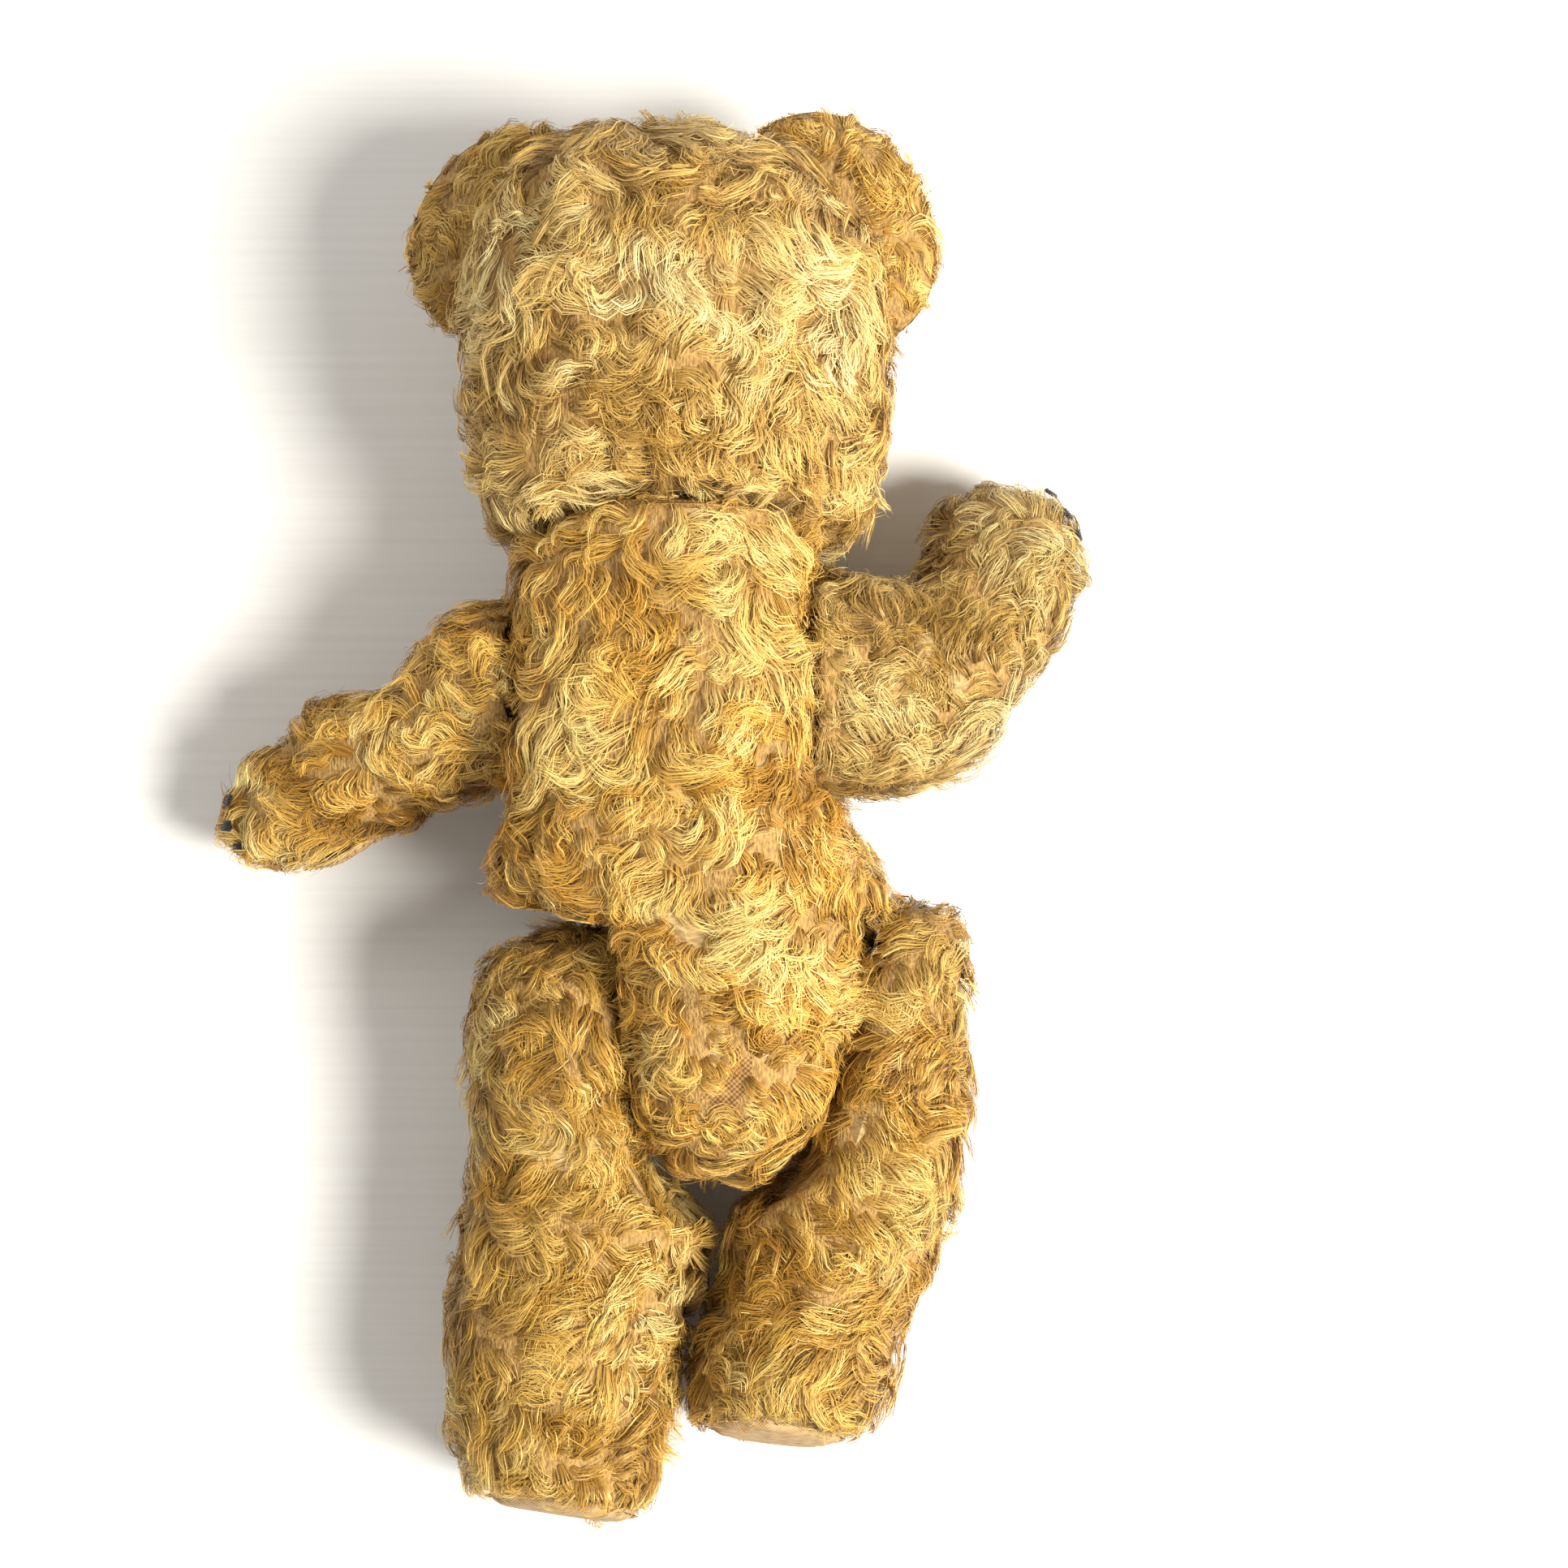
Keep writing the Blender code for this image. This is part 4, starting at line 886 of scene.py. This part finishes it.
def grow(name, spacing, strands, seed):
    part = PARTS[name]
    r = np.random.default_rng(seed)
    root = scatter(part["v"], part["f"], spacing, seed)
    _, nrm = nearest(part["tree"], root)
    keep = np.ones(len(root), bool)
    for point, axis, room in part["planes"]:
        if abs(axis[2]) > 0.99:
            continue
        off = (root - point) @ axis - (room(root) if room else 0.0)
        keep &= ~((off > -1.6) & ((nrm @ axis) > 0.7))
    keep &= ~in_pad(name, root, 1.5)
    if name.startswith("ear"):
        hit, hn = nearest(SMOOTH["head"], root)
        keep &= ((root - hit) * hn).sum(-1) > 0.8
        keep &= ~((nrm[:, 2] < -0.2) & (np.random.default_rng(seed + 1).random(len(root)) < 0.25))
    worn = np.zeros(len(root))
    if name == "body":
        d = root - WORN_SPOT
        worn = np.exp(-((d[:, 0] / 6.5) ** 2 + (d[:, 1] / 8.5) ** 2)) * (root[:, 2] > 60)
        keep &= r.random(len(root)) > worn * 0.76
    if name == "arm_right":
        keep &= np.linalg.norm(root - np.array([107.0, 86.5, 30.0]), axis=1) > 5.0
    if name == "head":
        for x, y, rr in ((5 - 23, 139, 5.0), (5 + 23, 139, 5.0)):
            keep &= ~((root[:, 2] < 40) & (np.hypot(root[:, 0] - x, root[:, 1] - y) < rr))
        keep &= ~((root[:, 2] < 30) & (np.hypot((root[:, 0] - 5) / 9.0, (root[:, 1] - 118) / 7.5) < 1))
    root, nrm, worn = root[keep], nrm[keep], worn[keep]
    m = len(root)
    # nearness to where ear and head meet: the pile is lower and shorter there, and its tone darker as painted shade
    fold = np.zeros(m)
    if name.startswith("ear"):
        hit, _ = nearest(SMOOTH["head"], root)
        fold = np.exp(-(np.linalg.norm(root - hit, axis=1) / 5.0) ** 2)
    if name == "head":
        for ear in ("ear_left", "ear_right"):
            hit, _ = nearest(PARTS[ear]["tree"], root)
            fold = np.maximum(fold, np.exp(-(np.linalg.norm(root - hit, axis=1) / 4.5) ** 2))

    # how long, how high and how curled each lock is
    lead = thin(root, 8.0)
    boss = np.empty(m, int)
    for start in range(0, m, 1000):
        part_root, part_nrm = root[start:start + 1000], nrm[start:start + 1000]
        gap = ((part_root[:, None] - root[lead][None]) ** 2).sum(-1) + 60 * (1 - part_nrm @ nrm[lead].T)
        boss[start:start + 1000] = lead[np.argmin(gap, 1)]
    length = r.uniform(12.0, 20.0, m)
    length = 0.7 * length[boss] + 0.3 * length
    height = r.uniform(1.4, 4.9, m)
    height = (0.62 * height[boss] + 0.38 * height) * (1 + 0.32 * tufts(root))
    wide = r.uniform(1.3, 2.3, m)
    if name.startswith("ear"):
        length *= 0.72
        height *= 0.62
        wide *= 0.85
    if name.startswith("arm"):
        length *= 0.88
        height *= 0.85
    face = np.zeros(m)
    if name == "head":
        face = np.exp(-(((root[:, 0] - 5) / 26) ** 2 + ((root[:, 1] - 118) / 24) ** 2)) * (root[:, 2] < 34)
        length *= 1 - 0.55 * face
        height *= 1 - 0.6 * face
    length *= 1 - 0.5 * worn
    if name == "body":
        near = np.exp(-(((root[:, 0] - WORN_SPOT[0]) / 10) ** 2 + ((root[:, 1] - WORN_SPOT[1] - 5) / 13) ** 2))
        length *= 1 - 0.45 * near * (root[:, 2] > 60)
    height *= 1 - 0.6 * worn
    # nearness to a crease line: the pile is lower there, and its tone darker as painted shade
    dent = np.zeros(m)
    for line, depth, width in CREASES.get(name, []):
        dent = np.maximum(dent, np.exp(-(dist_line(root, line) / (width * 0.9)) ** 2))
    height *= 1 - 0.45 * dent
    height *= 1 - 0.5 * fold
    length *= 1 - 0.35 * fold
    if name == "arm_right":
        far = np.exp(-(((root[:, 0] - 114) / 11) ** 2 + ((root[:, 1] - 74) / 11) ** 2))
        height *= 1 + 0.9 * far
    if name == "arm_left":
        far = np.exp(-(((root[:, 0] + 116) / 10) ** 2 + ((root[:, 1] + 4) / 12) ** 2))
        height *= 1 + 0.8 * far
    height = np.clip(height, 0.7, 6.4)

    tan = flow(name, root)
    tan = unit(tan - (tan * nrm).sum(-1, keepdims=True) * nrm)
    if name == "body":
        w = np.exp(-(dist_line(root, SPINE[1:]) / 8.0) ** 2)[:, None]
        tan = unit(tan * (1 - w) + w * np.array([1.0, -0.35, 0.0]))
        tan = unit(tan - (tan * nrm).sum(-1, keepdims=True) * nrm)
    bit = np.cross(nrm, tan)
    turn0 = 1.05 * swirl(root) + 0.55 * swirl2(root) + r.normal(0, 0.30, m)[boss] + r.normal(0, 0.16, m)
    sign = np.where(curl_field(root) + r.normal(0, 0.5, m) > 0, 1.0, -1.0)[boss]
    bend = (sign * r.uniform(0.6, 2.7, m)[boss]) + r.normal(0, 0.25, m)
    ph = r.uniform(0, 2 * np.pi, m)[boss] + r.normal(0, 0.4, m)
    t = np.linspace(0, 1, GUIDE)
    angle = (turn0[:, None] - bend[:, None] * 0.35 + bend[:, None] * t ** 1.35
             + 0.45 * np.sin(2 * np.pi * (1.25 * t + ph[:, None] / 6.283)))
    step = length[:, None] / (GUIDE - 1) * (1.0 - 0.35 * (t[None] - 0.5))
    dx = np.cumsum(np.cos(angle) * step, 1)
    dy = np.cumsum(np.sin(angle) * step, 1)
    dx -= dx[:, :1]
    dy -= dy[:, :1]
    g = root[:, None] + tan[:, None] * dx[..., None] + bit[:, None] * dy[..., None]
    g = g + nrm[:, None] * 1.5
    pull = r.uniform(0.25, 0.72, m)[:, None, None] * (t ** 1.5)[None, :, None]
    g = g + (g[boss] - g) * pull
    place, gn = nearest(WHOLE, g)
    perk = (r.random(m) < 0.17)[boss][:, None] & (height > 1.5)[:, None]
    rise = (1 - np.exp(-5.0 * t)) * np.where(perk, 0.85 + 0.75 * t * t, 1 - 0.42 * t * t)
    g = place + gn * (0.05 + height[:, None] * rise)[..., None]
    gn = unit(gn + 0.6 * np.roll(gn, 1, 1) * (t[None, :, None] > 0) + 0.6 * np.roll(gn, -1, 1) * (t[None, :, None] < 1))
    gt = unit(np.gradient(g, axis=1))
    gb = unit(np.cross(gt, gn))

    # the strands of each lock, drawn together towards its tip
    S = strands
    tmax = r.uniform(0.72, 1.0, (m, S))
    tt = np.linspace(0, 1, POINTS)
    where = tmax[..., None] * tt * (GUIDE - 1)
    i0 = np.clip(where.astype(int), 0, GUIDE - 2)
    fr = (where - i0)[..., None]
    row = np.arange(m)[:, None, None]

    def at(a):
        return a[row, i0] * (1 - fr) + a[row, i0 + 1] * fr
    G, T, B, U = at(g), unit(at(gt)), unit(at(gb)), unit(at(gn))
    tau = (tmax[..., None] * tt)
    rad = np.sqrt(r.random((m, S)))
    ang = r.uniform(0, 2 * np.pi, (m, S))
    spin = ang[..., None] + (sign * r.uniform(0.6, 2.2, m))[:, None, None] * tau
    loose = (np.arange(S) >= int(S * 0.56))[None, :, None]
    w = (wide[:, None] * rad)[..., None] * (0.75 + 0.6 * np.sin(np.pi * tau)) * (1 - np.where(loose, 0.1, 0.80) * tau ** 2)
    w = w * np.where(loose, 1.75, 1.0)
    fuzz = r.normal(0, 0.16, (m, S, 2, 1)) * tau[:, :, None, :]
    across = np.cos(spin) * w + fuzz[:, :, 0]
    above = np.sin(spin) * np.where(loose, w * 0.18, w * 0.5) + fuzz[:, :, 1] * 0.7
    above = above - np.where(loose, np.minimum(height[:, None, None] * 0.34, 1.6), 0.0) * np.minimum(tau * 4, 1)
    wild = (r.random((m, S)) < 0.025)[..., None]
    above = above + wild * r.uniform(0.8, 3.4, (m, S, 1)) * tau ** 1.5
    across = across + wild * r.normal(0, 3.0, (m, S, 1)) * tau ** 1.5
    stray = (r.random((m, S)) < 0.10)[..., None]
    across = across + stray * r.normal(0, 1.4, (m, S, 1)) * tau ** 2
    above = above + stray * r.uniform(0.2, 1.6, (m, S, 1)) * tau ** 2
    P = G + B * across[..., None] + U * above[..., None]

    # one flat fibre each, turned a little, thin at its end
    tw = np.where(loose, 0.0, (np.mod(spin, np.pi) - np.pi / 2) * 0.62)
    tw = tw + r.uniform(-0.45, 0.45, (m, S))[..., None] + tau * r.uniform(-0.3, 0.3, (m, S))[..., None]
    side = B * np.cos(tw)[..., None] + U * np.sin(tw)[..., None]
    thick = (r.uniform(0.09, 0.165, (m, S)))[..., None] * (1 - 0.75 * tt ** 1.8)
    left, right = P - side * thick[..., None], P + side * thick[..., None]
    v = np.stack([left, right], 3)                       # m, S, POINTS, 2, 3

    # the pile keeps to its own side of the mating faces and off the floor
    flat = v.reshape(-1, 3)
    for point, axis, room in part["planes"]:
        if abs(axis[2]) > 0.99:
            continue
        limit = np.repeat(1.2 + 8.5 * r.random((m, 1)) ** 2 + 0 * tmax, POINTS * 2)
        off = (flat - point) @ axis - (room(flat) if room else 0.0)
        over = np.where(off > 0, off - limit * np.tanh(off / limit), 0.0)
        flat = flat - over[:, None] * axis
    flat[:, 2] = np.maximum(flat[:, 2], 0.35)
    v = flat.reshape(v.shape)

    # the lock's place on the palette: random tone, made darker near crease lines (dent) and where ear and head meet
    # (fold) as painted shade
    u = 0.46 + 0.20 * tone(root) + 0.12 * tone2(root) + r.normal(0, 0.07, m) - 0.42 * dent - 0.42 * fold + r.normal(0, 0.07, m)[boss]
    u += 0.05 * np.clip(tufts(root), -1.5, 1.5)
    # painted light: locks on skin that faces up are lighter, those on skin facing down darker
    u += 0.16 * (nrm[:, 2] - 0.6)
    # painted highlight: on the body, locks along the spine ridge are made much lighter
    if name == "body":
        d = dist_line(root, SPINE)
        u += 0.65 * np.exp(-(d / 6.5) ** 2)
    if name == "head":
        u += 0.10 * np.clip((root[:, 1] - 100) / 60, 0, 1)
    u = np.clip(u[:, None] + r.normal(0, 0.05, (m, S)), 0.02, 0.98)
    uv = np.empty(v.shape[:-1] + (2,))
    uv[..., 0] = u[..., None, None]
    uv[..., 1] = np.clip(tau, 0.01, 0.99)[..., None]
    uv[..., 0] += np.array([-0.0005, 0.0005])

    # split into pieces, whole locks together
    per = S * (POINTS - 1)
    block = max(1, 95000 // per)
    out = []
    for part_no, start in enumerate(range(0, m, block)):
        vv = v[start:start + block].reshape(-1, 3)
        uu = uv[start:start + block].reshape(-1, 2)
        fibres = len(vv) // (POINTS * 2)
        q = np.arange(fibres)[:, None] * POINTS * 2 + np.arange(POINTS - 1)[None] * 2
        faces = np.stack([q, q + 1, q + 3, q + 2], -1).reshape(-1, 4)
        obj = to_mesh(f"{name}_pile_{part_no + 1}", vv, faces, uu)
        obj.data.materials.append(FUR[name])
        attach(obj, part["rides"])
        out.append(obj)
    return m


FUR = {
    "head": fur_set("mohair_head", 1.02, -0.5), "body": fur_set("mohair_body", 0.94, 0.4),
    "arm_left": fur_set("mohair_arm_left", 1.0, 0.1), "arm_right": fur_set("mohair_arm_right", 0.89, -0.4),
    "leg_left": fur_set("mohair_leg_left", 0.91, 0.05), "leg_right": fur_set("mohair_leg_right", 0.84, 0.5),
}
FUR["ear_left"] = FUR["ear_right"] = fur_set("mohair_ears", 1.0, -0.1)

total = 0
for seed, name in enumerate(PARTS):
    count = grow(name, 3.35, 21, 400 + seed * 17)
    total += count
    print(name, "locks", count)
print("locks", total, "faces", total * 21 * (POINTS - 1))

# ---------------------------------------------------------------- the face
def surface_point(host, start, inward, lift):
    d = unit(inward)
    hit, n, _, _ = SMOOTH[host].ray_cast(Vector(np.asarray(start, float) - d * 60), Vector(d))
    if hit is None:
        hit, n, _, _ = SMOOTH[host].find_nearest(Vector(start))
    return np.array(hit) + np.array(n) * lift, np.array(n)


glass = bpy.data.materials.new("amber_glass")
tree, N, L, P = nodes_of(glass)
tc = N.new("ShaderNodeUVMap")
tc.uv_map = "eye"
sep = N.new("ShaderNodeSeparateXYZ")
L.new(tc.outputs[0], sep.inputs[0])
L.new(ramp(N, L, sep.outputs[0], [(0.0, srgb(8, 6, 5)), (0.44, srgb(8, 6, 5)), (0.5, srgb(96, 46, 10)),
                                  (0.78, srgb(176, 98, 26)), (0.9, srgb(90, 42, 10)), (1.0, srgb(26, 14, 8))]),
      P.inputs["Base Color"])
P.inputs["Roughness"].default_value = 0.06
P.inputs["Coat Weight"].default_value = 1.0
P.inputs["Coat Roughness"].default_value = 0.02
for node, dx in (("eye_left", -23.0), ("eye_right", 23.0)):
    lo, hi = inside_box(node)
    centre = (lo + hi) / 2
    _, n = surface_point("head", (5.0 + dx, 139.0, 0.0), Z, 0.0)
    a = unit(np.cross(n, [0, 1.0, 0]))
    b = np.cross(n, a)
    rings, seg = 22, 40
    th = np.pi * (np.arange(rings) + 0.5) / rings
    ph = 2 * np.pi * np.arange(seg) / seg
    r1 = np.outer(np.sin(th), np.ones(seg)).ravel()
    v = (centre + a * (6.0 * np.outer(np.sin(th), np.cos(ph)).ravel())[:, None]
         + b * (6.0 * np.outer(np.sin(th), np.sin(ph)).ravel())[:, None]
         + n * (2.6 * np.outer(np.cos(th), np.ones(seg)).ravel())[:, None])
    v = np.concatenate([v, [centre + n * 2.6, centre - n * 2.6]])
    f = outward(v - centre, grid_faces(rings, seg))
    obj = to_mesh(node + "_glass", v, f)
    layer = obj.data.uv_layers.new(name="eye")
    rr = np.append(r1, [0, 0])
    angs = np.append(np.tile(ph, rings), [0, 0]) / (2 * np.pi)
    idx = f.ravel()
    layer.data.foreach_set("uv", np.stack([rr[idx], angs[idx]], -1).astype(np.float32).ravel())
    obj.data.materials.append(glass)
    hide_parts(node)
    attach(obj, "head")

NOSE = np.array([5.0, 119.0, 1.3])
lines = []
for y in np.arange(-11.5, 6.01, 0.85):
    half = np.interp(y, [-12, -4, -1.8, 1.8, 4.4, 6.0], [0.9, 1.1, 4.5, 7.6, 8.6, 7.4])
    xs = np.linspace(-half, half, 7)
    z = 0.25 + 0.7 * (xs / 8.6) ** 2
    lines.append(np.stack([NOSE[0] + xs, NOSE[1] + y + 0 * xs, NOSE[2] + z - 0.3], -1))
thread("nose_threads", lines, 0.5, THREAD, "head", replaces=("nose_stitching",))
xs = np.linspace(-1, 1, 13)
mouth = np.stack([NOSE[0] + 9.5 * xs, NOSE[1] - 13.2 - 2.1 * (1 - np.cos(np.pi * np.abs(xs))),
                  NOSE[2] + 0.1 + 0 * xs], -1)
drop = np.stack([np.full(5, NOSE[0]), np.linspace(NOSE[1] - 8, NOSE[1] - 13.4, 5), np.full(5, NOSE[2] + 0.1)], -1)
thread("mouth_threads", [mouth, mouth + [0, -0.9, 0.2], drop, drop + [0.7, 0, 0.2]], 0.45, THREAD, "head",
       replaces=("mouth_stitching",))

# ------------------------------------------------------------------- claws
for side, along, tip, d in (("left", (0.30, 0.10, 0.95), (-114.0, -3.0, 27.0), (-0.85, -0.30, 0.35)),
                            ("right", (-0.30, -0.10, 0.95), (108.0, 80.0, 28.0), (0.88, 0.36, 0.30))):
    host = "arm_" + side
    d = unit(d)
    along = np.array(along)
    spread = unit(np.cross(d, along))
    reach = unit(along - d * (along @ d))
    lines = []
    for k in (-1, 0, 1):
        lift = 1.5 if (side, k) == ("right", -1) else 0.35
        for s in (-0.85, 0.0, 0.85, 1.7):
            a = np.array(tip) + spread * (k * 6.5 + s) - reach * (1.2 - abs(s - 0.4) * 0.5)
            b = np.array(tip) + spread * (k * 6.5 + s * 0.7) + reach * 6.0
            pts = []
            for q in np.linspace(0, 1, 6):
                p, n = surface_point(host, a + (b - a) * q, -d, lift + 0.4 * math.sin(math.pi * q))
                pts.append(p)
            lines.append(pts)
    thread(f"arm_{side}_claw_threads", lines, 0.5, THREAD, host, replaces=(f"arm_{side}_claws",))
for side in ("left", "right"):
    host = "leg_" + side
    lo, hi = inside_box(f"leg_{side}_claws")
    mid = (lo + hi) / 2
    lines = []
    for k in (-1, 0, 1):
        for s in (-0.85, 0.0, 0.85, 1.7):
            pts = []
            for y in np.linspace(-3.0, 3.4, 6):
                p, n = surface_point(host, (mid[0] + k * 7.5 + s - 0.4, mid[1] + y, 0.0), (0, 0.25, 1.0), 1.2)
                p[2] = max(p[2], 0.6)
                pts.append(p)
            lines.append(pts)
    thread(f"leg_{side}_claw_threads", lines, 0.5, THREAD, host, replaces=(f"leg_{side}_claws",))

# ------------------------------------------------------------ closing seam
lines = []
pts = []
for k in range(40):
    y = 50.0 - k * 1.95
    x = 15.5 + 0.3 * math.sin(k * 0.8)
    pts.append(surface_point("body", (x, y, 0.0), Z, 0.3)[0])
lines.append(pts)
for k in range(24):
    y = 49.0 - k * 3.2
    a, _ = surface_point("body", (13.6, y + 0.8, 0.0), Z, 0.5)
    c, _ = surface_point("body", (15.5, y, 0.0), Z, 0.8)
    b, _ = surface_point("body", (17.4, y - 0.8, 0.0), Z, 0.5)
    for q in (a, b, c):
        q[2] = max(q[2], 0.45)
    lines.append([a, (a + c) / 2, c, (b + c) / 2, b])
for q in lines[0]:
    q[2] = max(q[2], 0.45)
thread("closing_seam_threads", lines, 0.35, SEAM, "torso", replaces=("back_closing_seam",))

# --------------------------------------------------------- inner hardware
for node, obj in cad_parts.items():
    if obj.hide_render:
        continue
    if "stuffing" in node:
        mat = STUFFING
    elif "disc" in node or "card" in node:
        mat = CARD
    else:
        mat = STEEL
    obj.data.materials.clear()
    obj.data.materials.append(mat)
